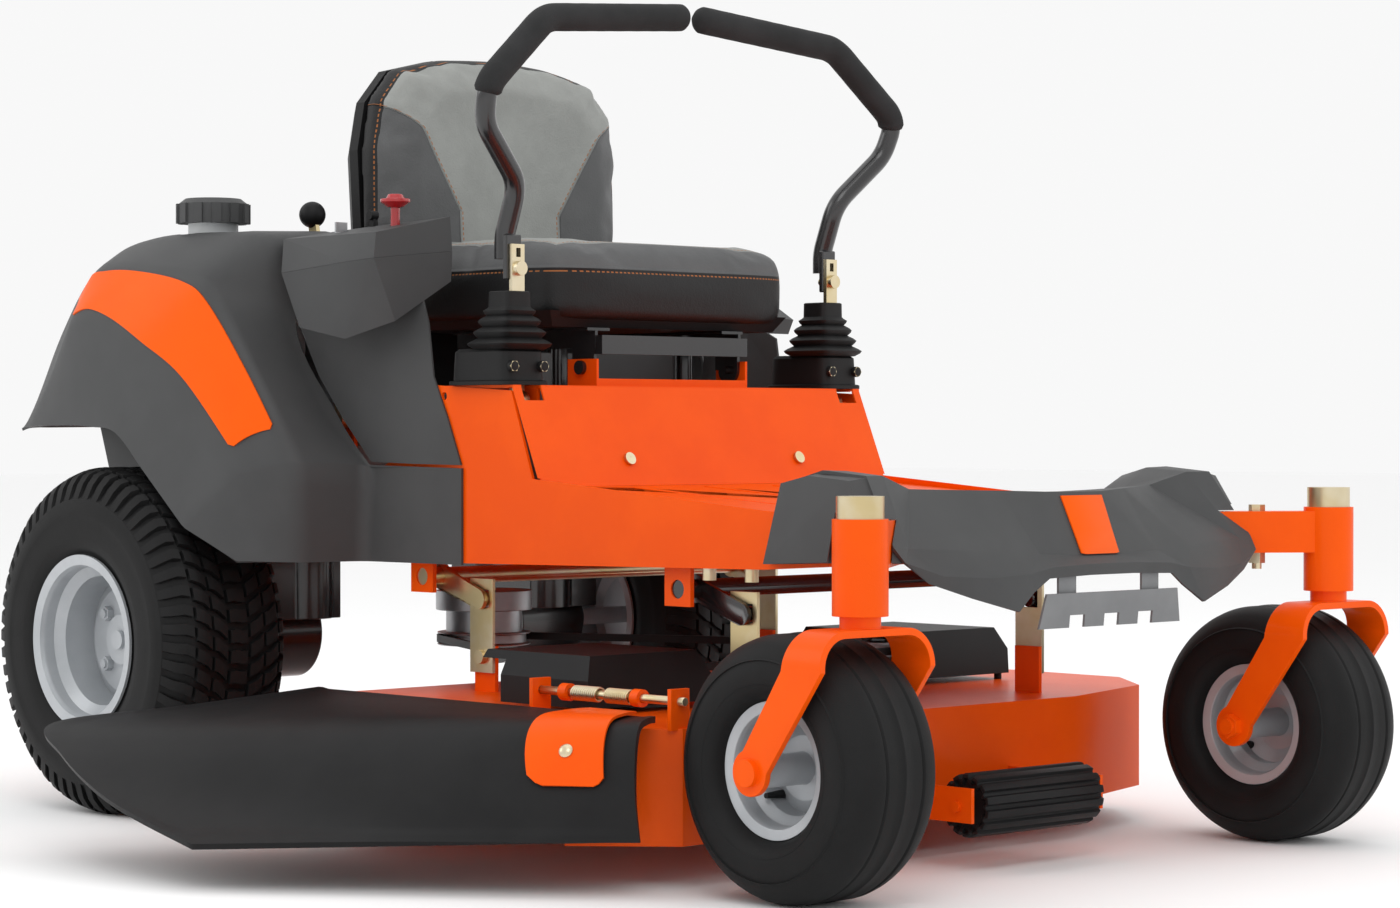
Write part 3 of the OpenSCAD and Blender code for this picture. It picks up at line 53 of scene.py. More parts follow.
# one value in a shader: floats combine through Math nodes
class Value:
    def __init__(self, shader, socket):
        self.shader = shader
        self.socket = socket

    def math(self, operation, *others):
        return self.shader.node("ShaderNodeMath", {"operation": operation}, [self, *others])

    def __add__(self, other):
        return self.math("ADD", other)

    def __radd__(self, other):
        return self.math("ADD", other)

    def __sub__(self, other):
        return self.math("SUBTRACT", other)

    def __rsub__(self, other):
        return self.shader.node("ShaderNodeMath", {"operation": "SUBTRACT"}, [other, self])

    def __mul__(self, other):
        return self.math("MULTIPLY", other)

    def __rmul__(self, other):
        return self.math("MULTIPLY", other)

    def __truediv__(self, other):
        return self.math("DIVIDE", other)

    def __rtruediv__(self, other):
        return self.shader.node("ShaderNodeMath", {"operation": "DIVIDE"}, [other, self])

    def __gt__(self, other):
        return self.math("GREATER_THAN", other)

    def __lt__(self, other):
        return self.math("LESS_THAN", other)

    def clamp(self):
        return self.shader.node("ShaderNodeClamp", {}, [self, 0.0, 1.0])

    # 0 below a, 1 above b, smooth between
    def step(self, a, b):
        return self.shader.node("ShaderNodeMapRange", {"interpolation_type": "SMOOTHSTEP"},
                                [self, a, b, 0.0, 1.0])


class Shader:
    def __init__(self, name):
        self.material = bpy.data.materials.new(name)
        self.material.use_nodes = True
        self.tree = self.material.node_tree
        self.tree.nodes.clear()
        self.principled = self.tree.nodes.new("ShaderNodeBsdfPrincipled")
        out = self.tree.nodes.new("ShaderNodeOutputMaterial")
        self.tree.links.new(self.principled.outputs[0], out.inputs[0])
        self.point = self.node("ShaderNodeTexCoord", {}, [], "Object")

    def node(self, kind, settings, inputs, output=0):
        made = self.tree.nodes.new(kind)
        for key, value in settings.items():
            setattr(made, key, value)
        pairs = inputs.items() if isinstance(inputs, dict) else enumerate(inputs)
        for key, value in pairs:
            if isinstance(value, Value):
                self.tree.links.new(value.socket, made.inputs[key])
            elif value is not None:
                made.inputs[key].default_value = value
        return Value(self, made.outputs[output])

    def axes(self):
        made = self.tree.nodes.new("ShaderNodeSeparateXYZ")
        self.tree.links.new(self.point.socket, made.inputs[0])
        return [Value(self, s) for s in made.outputs]

    def noise(self, scale, detail=3.0, rough=0.5, stretch=None):
        where = self.point
        if stretch:
            where = self.node("ShaderNodeVectorMath", {"operation": "MULTIPLY"}, [self.point, stretch])
        return self.node("ShaderNodeTexNoise", {},
                         {"Vector": where, "Scale": scale, "Detail": detail, "Roughness": rough})

    def cells(self, scale, feature="F1"):
        return self.node("ShaderNodeTexVoronoi", {"feature": feature},
                         {"Vector": self.point, "Scale": scale})

    def blend(self, factor, a, b):
        made = self.tree.nodes.new("ShaderNodeMix")
        made.data_type = "RGBA"
        for index, value in ((0, factor), (6, a), (7, b)):
            if isinstance(value, Value):
                self.tree.links.new(value.socket, made.inputs[index])
            elif isinstance(value, (int, float)):
                made.inputs[index].default_value = value
            else:
                made.inputs[index].default_value = (*value[:3], 1)
        return Value(self, made.outputs[2])

    def bump(self, height, distance, strength=1.0, under=None):
        return self.node("ShaderNodeBump", {}, {"Strength": strength, "Distance": distance,
                                                "Height": height, "Normal": under})

    def finish(self, **inputs):
        for key, value in inputs.items():
            name = {"base": "Base Color", "rough": "Roughness", "metal": "Metallic", "coat": "Coat Weight",
                    "coatRough": "Coat Roughness", "normal": "Normal",
                    "specular": "Specular IOR Level"}[key]
            if isinstance(value, Value):
                self.tree.links.new(value.socket, self.principled.inputs[name])
            elif isinstance(value, (tuple, list)):
                self.principled.inputs[name].default_value = (*value[:3], 1)
            else:
                self.principled.inputs[name].default_value = value
        return self.material


# finishes: two close tints, roughness range, grain size per metre and its depth in metres
finishes = {
    "orange_paint": {"a": (0.90, 0.098, 0.001), "b": (0.86, 0.088, 0.001), "rough": (0.3, 0.4),
                     "grain": 520, "depth": 0.00018, "coat": 0.06, "metal": 0, "specular": 0.1},
    "orange_plastic": {"a": (0.92, 0.110, 0.001), "b": (0.90, 0.104, 0.001), "rough": (0.34, 0.4),
                       "grain": 900, "depth": 0.00005, "coat": 0.03, "metal": 0, "specular": 0.1},
    "body_plastic": {"a": (0.064, 0.065, 0.066), "b": (0.058, 0.059, 0.060), "rough": (0.46, 0.56),
                     "grain": 1500, "depth": 0.00022, "coat": 0, "metal": 0, "specular": 0.25},
    "black_paint": {"a": (0.010, 0.010, 0.011), "b": (0.014, 0.014, 0.015), "rough": (0.2, 0.3),
                    "grain": 600, "depth": 0.00008, "coat": 0.5, "metal": 0},
    "black_plastic": {"a": (0.007, 0.007, 0.0075), "b": (0.010, 0.010, 0.0105), "rough": (0.42, 0.54),
                      "grain": 1300, "depth": 0.00022, "coat": 0, "metal": 0, "specular": 0.2},
    "zinc": {"a": (0.62, 0.50, 0.27), "b": (0.70, 0.62, 0.45), "rough": (0.24, 0.4),
             "grain": 160, "depth": 0.00004, "coat": 0, "metal": 1},
    "grey_plate": {"a": (0.20, 0.205, 0.21), "b": (0.17, 0.174, 0.18), "rough": (0.4, 0.5),
                   "grain": 1000, "depth": 0.0001, "coat": 0, "metal": 0.2},
    "silver_paint": {"a": (0.46, 0.48, 0.50), "b": (0.40, 0.42, 0.44), "rough": (0.3, 0.42),
                     "grain": 500, "depth": 0.00012, "coat": 0.3, "metal": 0.25},
    "steel": {"a": (0.40, 0.41, 0.42), "b": (0.30, 0.30, 0.31), "rough": (0.28, 0.5),
              "grain": 240, "depth": 0.00008, "coat": 0, "metal": 1},
    "cast_metal": {"a": (0.30, 0.31, 0.32), "b": (0.20, 0.205, 0.21), "rough": (0.5, 0.68),
                   "grain": 700, "depth": 0.0006, "coat": 0, "metal": 0.85},
    "rubber_tread": {"a": (0.007, 0.007, 0.0072), "b": (0.010, 0.010, 0.0103), "rough": (0.5, 0.66),
                     "grain": 700, "depth": 0.00025, "coat": 0, "metal": 0, "specular": 0.18},
    "soft_rubber": {"a": (0.007, 0.007, 0.0072), "b": (0.010, 0.010, 0.0103), "rough": (0.45, 0.6),
                    "grain": 900, "depth": 0.0002, "coat": 0, "metal": 0, "specular": 0.25},
    "foam_grip": {"a": (0.020, 0.0205, 0.021), "b": (0.030, 0.030, 0.031), "rough": (0.66, 0.8),
                  "grain": 650, "depth": 0.0007, "coat": 0, "metal": 0, "specular": 0.2},
    "tank_plastic": {"a": (0.62, 0.64, 0.64), "b": (0.56, 0.585, 0.60), "rough": (0.38, 0.48),
                     "grain": 300, "depth": 0.00012, "coat": 0, "metal": 0},
    "red_plastic": {"a": (0.42, 0.008, 0.012), "b": (0.36, 0.007, 0.010), "rough": (0.18, 0.26),
                    "grain": 400, "depth": 0.00004, "coat": 0.6, "metal": 0},
}


def plainFinish(name, spec):
    sh = Shader(name)
    cloud = sh.noise(9, 4, 0.6)
    fine = sh.noise(spec["grain"], 2, 0.6)
    patch = sh.noise(60, 5, 0.7)
    low, high = spec["rough"]
    colour = sh.blend(cloud.step(0.35, 0.65), spec["a"], spec["b"])
    # faint handling marks: slightly rougher patches
    rough = low + (high - low) * (patch * 0.6 + cloud * 0.5).clamp()
    return sh.finish(base=colour, rough=rough, metal=spec["metal"], coat=spec["coat"], coatRough=0.12,
                     specular=spec.get("specular", 0.5), normal=sh.bump(fine, spec["depth"]))


materials = {n: plainFinish(n, s) for n, s in finishes.items()}
print("finishes made")


def newObject(name, mesh, node=None, body=None, finish=None, replaces=()):
    made = bpy.data.objects.new(name, mesh)
    bpy.context.scene.collection.objects.link(made)
    finish = finish or slotOf[node]
    mesh.materials.clear()
    mesh.materials.append(materials[finish])
    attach(made, body or bodyOf[node])
    if replaces:
        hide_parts(*replaces)
    return made


def smoothBy(mesh, degrees):
    mesh.shade_smooth()
    mesh.set_sharp_from_angle(angle=math.radians(degrees))


keepFacets = {"main_frame"}


# rounded copy of a CAD piece, shown in its place
def soften(node, width, segments=2, limit=24):
    bm = bmesh.new()
    bm.from_mesh(frame["nodes"][node].data)
    bmesh.ops.remove_doubles(bm, verts=bm.verts, dist=0.00002)
    if node not in keepFacets:
        bmesh.ops.dissolve_limit(bm, angle_limit=math.radians(0.4), verts=bm.verts, edges=bm.edges)
    mesh = bpy.data.meshes.new(node + ".soft")
    bm.to_mesh(mesh)
    bm.free()
    made = newObject(node + ".soft", mesh, node, replaces=(node,))
    bevel = made.modifiers.new("edges", "BEVEL")
    bevel.width = width / 1000
    bevel.segments = segments
    bevel.limit_method = "ANGLE"
    bevel.angle_limit = math.radians(limit)
    bevel.use_clamp_overlap = True
    bevel.miter_outer = "MITER_ARC"
    applyAll(made)
    smoothBy(made.data, 32)
    normals = made.modifiers.new("normals", "WEIGHTED_NORMAL")
    normals.keep_sharp = True
    return made


def applyAll(obj):
    graph = bpy.context.evaluated_depsgraph_get()
    mesh = bpy.data.meshes.new_from_object(obj.evaluated_get(graph))
    obj.modifiers.clear()
    old = obj.data
    obj.data = mesh
    bpy.data.meshes.remove(old)


def meshFrom(name, points, faces, smooth=35):
    mesh = bpy.data.meshes.new(name)
    mesh.from_pydata([tuple(p) for p in points], [], faces)
    bm = bmesh.new()
    bm.from_mesh(mesh)
    bmesh.ops.recalc_face_normals(bm, faces=bm.faces)
    bm.to_mesh(mesh)
    bm.free()
    smoothBy(mesh, smooth)
    return mesh


class Build:
    def __init__(self):
        self.points = []
        self.faces = []

    def add(self, points, faces):
        base = len(self.points)
        self.points += [Vector(p) for p in points]
        self.faces += [tuple(base + i for i in f) for f in faces]

    # closed rings of equal length joined in order, with caps
    def loft(self, rings, closed=False):
        n = len(rings[0])
        faces = []
        count = len(rings)
        for i in range(count if closed else count - 1):
            j = (i + 1) % count
            faces += [(i * n + k, i * n + (k + 1) % n, j * n + (k + 1) % n, j * n + k) for k in range(n)]
        if not closed:
            faces += [tuple(range(n))[::-1], tuple((count - 1) * n + k for k in range(n))]
        self.add([p for r in rings for p in r], faces)

    # profile of (radius, along) turned about an axis through centre
    def lathe(self, profile, centre, axis="x", sides=96, closed=False):
        rings = []
        for r, a in profile:
            ring = []
            for k in range(sides):
                t = 2 * math.pi * k / sides
                c, s = r * math.cos(t) / 1000, r * math.sin(t) / 1000
                off = {"x": (a / 1000, c, s), "y": (s, a / 1000, c), "z": (c, s, a / 1000)}[axis]
                ring.append(centre + Vector(off))
            rings.append(ring)
        self.loft(rings, closed)

    # tube along a path given in millimetres; radius may vary
    def tube(self, path, radius, sides=20):
        rings = []
        side = None
        for i, p in enumerate(path):
            d = (path[min(i + 1, len(path) - 1)] - path[max(i - 1, 0)]).normalized()
            if side is None:
                side = d.orthogonal().normalized()
            side = (side - d * side.dot(d)).normalized()
            up = d.cross(side)
            r = (radius(i / (len(path) - 1)) if callable(radius) else radius) / 1000
            rings.append([p + r * (math.cos(2 * math.pi * k / sides) * side
                                   + math.sin(2 * math.pi * k / sides) * up)
                          for k in range(sides)])
        self.loft(rings)

    # slab between two opposite corners in machine millimetres, with cut edges
    def slab(self, a, b, edge):
        lo, hi = at(*a), at(*b)
        mid = (lo + hi) / 2
        half = [(hi[i] - lo[i]) / 2 for i in range(3)]
        e = min(edge / 1000, min(half) * 0.45)
        points = []
        signs = [(i, j, k) for i in (1, -1) for j in (1, -1) for k in (1, -1)]
        for s in signs:
            for k in range(3):
                v = Vector([s[i] * (half[i] - (0 if i == k else e)) for i in range(3)])
                points.append(mid + v)
        bm = bmesh.new()
        for p in points:
            bm.verts.new(p)
        bmesh.ops.convex_hull(bm, input=bm.verts)
        bm.verts.index_update()
        self.add([v.co.copy() for v in bm.verts], [tuple(v.index for v in f.verts) for f in bm.faces])
        bm.free()

    def mesh(self, name, smooth=35):
        return meshFrom(name, self.points, self.faces, smooth)


def flipMesh(mesh, name):
    other = mesh.copy()
    other.name = name
    other.transform(Matrix.Translation((2 * shift["x"] / 1000, 0, 0)) @ Matrix.Scale(-1, 4, (1, 0, 0)))
    other.flip_normals()
    return other


def roundPath(points, radius, steps=10):
    pts = [at(*p) for p in points]
    out = [pts[0]]
    for i in range(1, len(pts) - 1):
        a, b, c = pts[i - 1], pts[i], pts[i + 1]
        u, v = (a - b).normalized(), (c - b).normalized()
        half = math.acos(max(-0.999, min(0.999, u.dot(v)))) / 2
        reach = min(radius / 1000 / math.tan(half), (a - b).length / 2.2, (c - b).length / 2.2)
        for k in range(steps + 1):
            t = k / steps
            out.append((1 - t) ** 2 * (b + reach * u) + 2 * t * (1 - t) * b + t * t * (b + reach * v))
    return out + [pts[-1]]


def spline(values, t):
    i = min(int(t), len(values) - 2)
    f = t - i
    p = [values[max(i - 1, 0)], values[i], values[i + 1], values[min(i + 2, len(values) - 1)]]
    return 0.5 * (2 * p[1] + (p[2] - p[0]) * f + (2 * p[0] - 5 * p[1] + 4 * p[2] - p[3]) * f * f
                  + (3 * p[1] - p[0] - 3 * p[2] + p[3]) * f ** 3)


# rear tyres: turf tread of skewed blocks in staggered columns
tyreRear = {"r": 228.5, "half": 95, "rim": 101.5, "x": 436, "pitches": 54, "lug": 7.5,
            "shares": [0.0, 0.06, 0.115, 0.15, 0.18, 0.26, 0.34, 0.42, 0.5, 0.6, 0.68, 0.75, 0.8, 0.86,
                       0.9, 0.94, 0.965, 0.99, 1],
            "insets": [10, 9.4, 9, 6, 3.5, 1.4, 0.6, 0.1, 0, 1.2, 3, 6, 9, 13.5, 17, 23, 28, 36, 44],
            "columns": [(-93, -66), (-62, -42), (-38, -18), (-13, 13), (18, 38), (42, 62), (66, 93)],
            "shoulder": (0.66, 0.1), "drop": 0.3, "rings": (0.26, 0.5), "ringHeight": 1.5,
            "skin": 24, "well": 70, "cap": 60, "angle": (0.16, 1.6), "fill": (0.31, 0.27),
            "flare": 1.12, "wave": 0.05}


def tyreRadius(spec, u):
    h = spec["r"] - spec["rim"]
    table = [(spec["half"] - d, spec["rim"] + h * s) for s, d in zip(spec["shares"], spec["insets"]) if s >= 0.5]
    u = abs(u)
    if u <= table[-1][0]:
        return spec["r"]
    for (u0, r0), (u1, r1) in zip(table, table[1:]):
        if u1 <= u <= u0:
            return r0 + (r1 - r0) * (u - u0) / (u1 - u0)
    return table[0][1]


def makeRearTyre():
    spec = tyreRear
    h = spec["r"] - spec["rim"]
    b = Build()
    outer = []
    for s, d in zip(spec["shares"], spec["insets"]):
        begin, span = spec["shoulder"]
        drop = spec["lug"] * max(0, min(1, (s - begin) / span))
        outer.append((spec["rim"] + h * s - drop, spec["half"] - d - (drop * spec["drop"] if s < 0.95 else 0)))
        if s in spec["rings"]:
            outer.append((spec["rim"] + h * s + spec["ringHeight"], spec["half"] - d + 0.3))
    section = outer + [(r, -x) for r, x in reversed(outer)]
    low, deep = spec["rim"] + 1, spec["r"] - spec["skin"]
    inner = [(low, -spec["well"]), (deep, -spec["cap"]), (deep, spec["cap"]), (low, spec["well"])]
    centre = at(-spec["x"], 0, spec["r"])
    b.lathe(section + inner, centre, "x", 144, closed=True)
    step = 2 * math.pi / spec["pitches"]
    for c, (u0, u1) in enumerate(spec["columns"]):
        for k in range(spec["pitches"]):
            mid = (k + 0.5 * (c % 2)) * step
            middle = len(spec["columns"]) // 2
            slant, more = spec["angle"]
            skew = (slant if c < middle else -slant if c > middle else 0) * step
            skew *= 1 if abs(c - middle) > 2 else more
            size = step * (spec["fill"][0] if abs(c - middle) < 3 else spec["fill"][1])
            rings = []
            for n in range(4):
                u = u0 + (u1 - u0) * n / 3
                wave = spec["wave"] * step * math.sin(n * 2.1 + c)
                top = tyreRadius(spec, u) - (0.8 if n in (0, 3) else 0)
                low = top - spec["lug"] - 3
                ring = []
                for r, a in ((low, -size * spec["flare"]), (top, -size), (top, size), (low, size * spec["flare"])):
                    t = mid + a + skew * (n - 1.5) / 1.5 + wave
                    ring.append(centre + Vector((u, r * math.cos(t), r * math.sin(t))) / 1000)
                rings.append(ring)
            b.loft(rings)
    mesh = b.mesh("rearTyre", 30)
    newObject("rearTyreRight", mesh, "rear_tyre_right", replaces=("rear_tyre_right",))
    newObject("rearTyreLeft", flipMesh(mesh, "rearTyreLeft"), "rear_tyre_left", replaces=("rear_tyre_left",))


makeRearTyre()

# front tyres: smooth ribbed crown with a fine centre seam
tyreFront = {"r": 145, "half": 69.5, "rim": 63.5, "x": 411.5, "y": -1225,
             "shares": [0.0, 0.06, 0.115, 0.18, 0.25, 0.34, 0.42, 0.5, 0.6, 0.68, 0.75, 0.8, 0.86,
                         0.9, 0.94, 0.965, 0.99],
             "insets": [24.5, 23.8, 23.2, 10, 4, 0.8, 0.2, 0, 1.2, 3, 6, 9, 13.5, 17, 23, 28, 36],
             "grooves": [(30, 0), (27.5, -2.2), (25, 0), (14, 0.1), (2, 0.1), (1, 0.8)],
             "well": 40, "cap": 46, "skin": 14, "mouldRings": ((92, 1.6), (118, 1.2))}


def makeFrontTyre():
    spec = tyreFront
    h = spec["r"] - spec["rim"]
    outer = [(spec["rim"] + h * s, spec["half"] - d) for s, d in zip(spec["shares"], spec["insets"])]
    outer += [(spec["r"] + g - 0.8, u) for u, g in spec["grooves"]]
    section = outer + [(r, -x) for r, x in reversed(outer)]
    low, deep = spec["rim"] + 1, spec["r"] - spec["skin"]
    inner = [(low, -spec["well"]), (deep, -spec["cap"]), (deep, spec["cap"]), (low, spec["well"])]
    b = Build()
    b.lathe(section + inner, at(-spec["x"], spec["y"], spec["r"]), "x", 128, closed=True)
    # raised mould ring on each side wall
    for side in (-1, 1):
        for r, w in spec["mouldRings"]:
            share = (r - spec["rim"]) / h
            inset = next(d for s, d in zip(spec["shares"], spec["insets"]) if s >= share - 0.08)
            x = side * (spec["half"] - inset)
            b.lathe([(r - w, x - side * 2), (r, x + side * 0.4), (r + w, x - side * 2)],
                    at(-spec["x"], spec["y"], spec["r"]), "x", 128, closed=True)
    mesh = b.mesh("frontTyre", 40)
    newObject("frontTyreRight", mesh, "front_tyre_right", replaces=("front_tyre_right",))
    newObject("frontTyreLeft", flipMesh(mesh, "frontTyreLeft"), "front_tyre_left", replaces=("front_tyre_left",))


makeFrontTyre()
print("tyres made")


# thick skin over a grid of points in metres, thickened along the grid's normal
def shell(name, rows, t, smooth=40):
    nr, nc = len(rows), len(rows[0])
    front, back = [], []
    for i in range(nr):
        for j in range(nc):
            du = rows[min(i + 1, nr - 1)][j] - rows[max(i - 1, 0)][j]
            dv = rows[i][min(j + 1, nc - 1)] - rows[i][max(j - 1, 0)]
            n = du.cross(dv)
            n = n.normalized() if n.length > 1e-12 else Vector((0, 0, 1))
            thick = t(i / (nr - 1), j / (nc - 1)) if callable(t) else t
            front.append(rows[i][j])
            back.append(rows[i][j] + n * thick / 1000)
    size = nr * nc
    faces = []
    for i in range(nr - 1):
        for j in range(nc - 1):
            q = (i * nc + j, i * nc + j + 1, (i + 1) * nc + j + 1, (i + 1) * nc + j)
            faces += [q, tuple(size + v for v in reversed(q))]
    rim = [i * nc for i in range(nr)] + [(nr - 1) * nc + j for j in range(1, nc)]
    rim += [i * nc + nc - 1 for i in range(nr - 2, -1, -1)] + [j for j in range(nc - 2, 0, -1)]
    faces += [(a, b, size + b, size + a) for a, b in zip(rim, rim[1:] + rim[:1])]
    return meshFrom(name, front + back, faces, smooth)


# row of points with every inner corner rounded, always the same count
def roundRow(points, reach, steps=4):
    out = [points[0]]
    for i in range(1, len(points) - 1):
        a, b, c = points[i - 1], points[i], points[i + 1]
        r = min(reach / 1000, (a - b).length * 0.46, (c - b).length * 0.46)
        u, v = (a - b).normalized() * r, (c - b).normalized() * r
        for k in range(steps + 1):
            t = k / steps
            out.append((1 - t) ** 2 * (b + u) + 2 * t * (1 - t) * b + t * t * (b + v))
    return out + [points[-1]]


def splineRows(rows, steps):
    count = (len(rows) - 1) * steps
    return [[spline([r[c] for r in rows], i / steps) for c in range(len(rows[0]))] for i in range(count + 1)]


# rear fenders: foot, then the arch over the wheel; columns from the inner edge to the wheel lip
fender = {"skirt": [[(-309, -518, 338), (-320, -335, 338), (-408, -322, 338), (-432, -306, 339), (-470, -268, 340)],
                    [(-309, -518, 458), (-322, -346, 460), (-418, -326, 464), (-458, -262, 450), (-498, -196, 380)]],
          "arch": [[(-322, -350, 461), (-324, -345, 463), (-420, -322, 468), (-460, -256, 456), (-500, -190, 385)],
                   [(-333, -300, 522), (-350, -292, 530), (-440, -262, 580), (-474, -146, 566), (-502, -108, 452)],
                   [(-357, -240, 645), (-370, -232, 655), (-454, -196, 674), (-486, -66, 612), (-503, -44, 502)],
                   [(-300, -256, 752), (-398, -240, 750), (-459, -150, 702), (-488, 4, 646), (-503, 15, 510)],
                   [(-300, -150, 767), (-404, -130, 764), (-462, -52, 718), (-489, 50, 660), (-502, 66, 512)],
                   [(-300, 20, 768), (-404, 20, 763), (-461, 30, 722), (-488, 82, 654), (-500, 108, 512)],
                   [(-300, 122, 738), (-400, 112, 738), (-456, 86, 712), (-482, 104, 640), (-498, 140, 512)],
                   [(-300, 205, 650), (-398, 198, 652), (-450, 165, 640), (-475, 150, 585), (-495, 170, 511)],
                   [(-300, 270, 575), (-395, 262, 575), (-445, 225, 560), (-470, 200, 540), (-490, 190, 510)],
                   [(-300, 320, 512), (-395, 305, 511), (-445, 255, 510), (-470, 225, 509), (-488, 205, 508)]],
          "thick": 3.6, "reach": 17, "steps": 7,
          "wall": [(-250, 436), (266, 436), (296, 515), (258, 572), (192, 648), (114, 732), (18, 762),
                   (-150, 761), (-246, 746)],
          "wallX": (-303.8, -300.6), "filler": {"at": (-356, -56, 0), "r": 45, "z": (730, 800)}}

# orange insert: where it runs along the arch and across it, and its thickness
stripe = {"from": 0.42, "to": 6.15, "low": 0.08, "high": 0.90, "lift": 1.4, "t": 2.0, "steps": (44, 12),
          "point": 0.9, "slant": 0.25, "shear": 0.18}
# blank badge: outline in x and z, then the cover's lean behind it
badge = {"outline": [(-36, 431), (36, 431), (34, 392), (33, 366), (27, 365), (-27, 365), (-33, 366), (-34, 392)],
         "front": -1257.1, "top": 430, "lean": 0.439, "layers": ((1, 0), (1, 1.6), (0.97, 2.3))}


def makeFender():
    spec = fender
    skirt = [[at(*p) for p in r] for r in spec["skirt"]]
    arch = [[at(*p) for p in r] for r in spec["arch"]]
    rows = [[a.lerp(b, k / 4) for a, b in zip(*skirt)] for k in range(5)]
    rows += splineRows(arch, spec["steps"])
    rows = [roundRow(r, spec["reach"]) for r in rows]
    mesh = shell("fender", rows, -spec["thick"], 48)
    b = Build()
    b.loft([[at(x, y, z) for y, z in spec["wall"]] for x in spec["wallX"]])
    wall = b.mesh("fenderWall")
    bm = bmesh.new()
    bm.from_mesh(mesh)
    bm.from_mesh(wall)
    bm.to_mesh(mesh)
    bm.free()
    smoothBy(mesh, 48)
    newObject("fenderLeft", flipMesh(mesh, "fenderLeft"), "rear_fender_left", replaces=("rear_fender_left",))
    right = newObject("fenderRight", mesh, "rear_fender_right", replaces=("rear_fender_right",))
    # round hole for the filler neck
    filler = spec["filler"]
    cut = Build()
    cut.lathe([(r, z) for r, z in zip((0.01, filler["r"], filler["r"], 0.01), sorted(filler["z"] * 2))],
              at(*filler["at"]), "z", 64)
    cutter = bpy.data.objects.new("cut", cut.mesh("cut"))
    bpy.context.scene.collection.objects.link(cutter)
    hole = right.modifiers.new("hole", "BOOLEAN")
    hole.object = cutter
    hole.operation = "DIFFERENCE"
    applyAll(right)
    bpy.data.objects.remove(cutter)
    smoothBy(right.data, 48)


def stripeRows():
    s = stripe
    arch = [[at(*p) for p in r] for r in fender["arch"]]
    top, low = [r[2] for r in arch], [r[3] for r in arch]
    rows = []
    n, m = s["steps"]
    for i in range(n + 1):
        row = []
        for j in range(m + 1):
            v = j / m
            start = s["from"] + 0.02 * v
            # pointed rear end
            end = s["to"] - s["point"] * abs(v - 0.42) - s["slant"] * v
            # cut the corners round at the foot
            start += 0.10 * max(0, abs(v - 0.5) - 0.42) * 6
            at1 = start + (end - start) * i / n
            a, b = spline(top, at1), spline(low, at1 - s["shear"] * v)
            row.append(a.lerp(b, s["low"] + (s["high"] - s["low"]) * v))
        rows.append(row)
    return rows


def makeTrim():
    rows = stripeRows()
    raised = []
    for i, r in enumerate(rows):
        line = []
        for j, p in enumerate(r):
            du = rows[min(i + 1, len(rows) - 1)][j] - rows[max(i - 1, 0)][j]
            dv = r[min(j + 1, len(r) - 1)] - r[max(j - 1, 0)]
            n = du.cross(dv).normalized()
            n = n if n.x < 0 else -n
            line.append(p + n * stripe["lift"] / 1000)
        raised.append(line)
    right = shell("stripe", raised, -stripe["t"], 50)
    plate = Build()
    plate.loft([[at(x * k, badge["front"] - (badge["top"] - z) * badge["lean"] - d, z) for x, z in badge["outline"]]
                for k, d in badge["layers"]])
    bm = bmesh.new()
    for m in (right, flipMesh(right, "stripeLeft"), plate.mesh("badge")):
        bm.from_mesh(m)
    mesh = bpy.data.meshes.new("trim")
    bm.to_mesh(mesh)
    bm.free()
    smoothBy(mesh, 40)
    newObject("trim", mesh, "trim_panels", replaces=("trim_panels",))


makeFender()
makeTrim()
print("fenders made")

# lap bars with foam grips
bars = {"path": [(-280, -567, 717), (-280, -567, 745), (-280, -592, 809), (-350, -613, 877),
                 (-358, -627, 923), (-254, -614, 1014), (-15, -606, 1034)],
        "round": 55, "radius": 12.7, "grip": 17.5, "gripFrom": 36, "tip": (-7.2, -605.8, 1034.4),
        "plate": ((-290, -582.7, 691), (-265, -574.7, 747))}


def makeBars():
    path = roundPath(bars["path"], bars["round"])
    b = Build()
    b.tube(path, bars["radius"], 28)
    b.slab(*bars["plate"], edge=1.5)
    bar = b.mesh("bar")
    g = Build()
    grip = path[bars["gripFrom"]:] + [at(*bars["tip"])]
    # even spacing so that the rolled ends are short
    fine = []
    for a, c in zip(grip, grip[1:]):
        n = max(1, int((c - a).length / 0.004))
        fine += [a.lerp(c, k / n) for k in range(n)]
    fine.append(grip[-1])
    total = len(fine)

    def width(t):
        edge = min(t, 1 - t) * total * 0.004
        dip = 1 - min(1, edge / 0.009)
        return bars["grip"] * math.sqrt(max(0.12, 1 - dip * dip * 0.85)) - 0.15 * math.sin(t * 40) ** 2
    g.tube(fine, width, 28)
    mesh = g.mesh("grip", 60)
    newObject("barRight", bar, "lap_bar_right", replaces=("lap_bar_right",))
    newObject("barLeft", flipMesh(bar, "barLeft"), "lap_bar_left", replaces=("lap_bar_left",))
    newObject("gripRight", mesh, "grip_right", replaces=("grip_right",))
    newObject("gripLeft", flipMesh(mesh, "gripLeft"), "grip_left", replaces=("grip_left",))


makeBars()

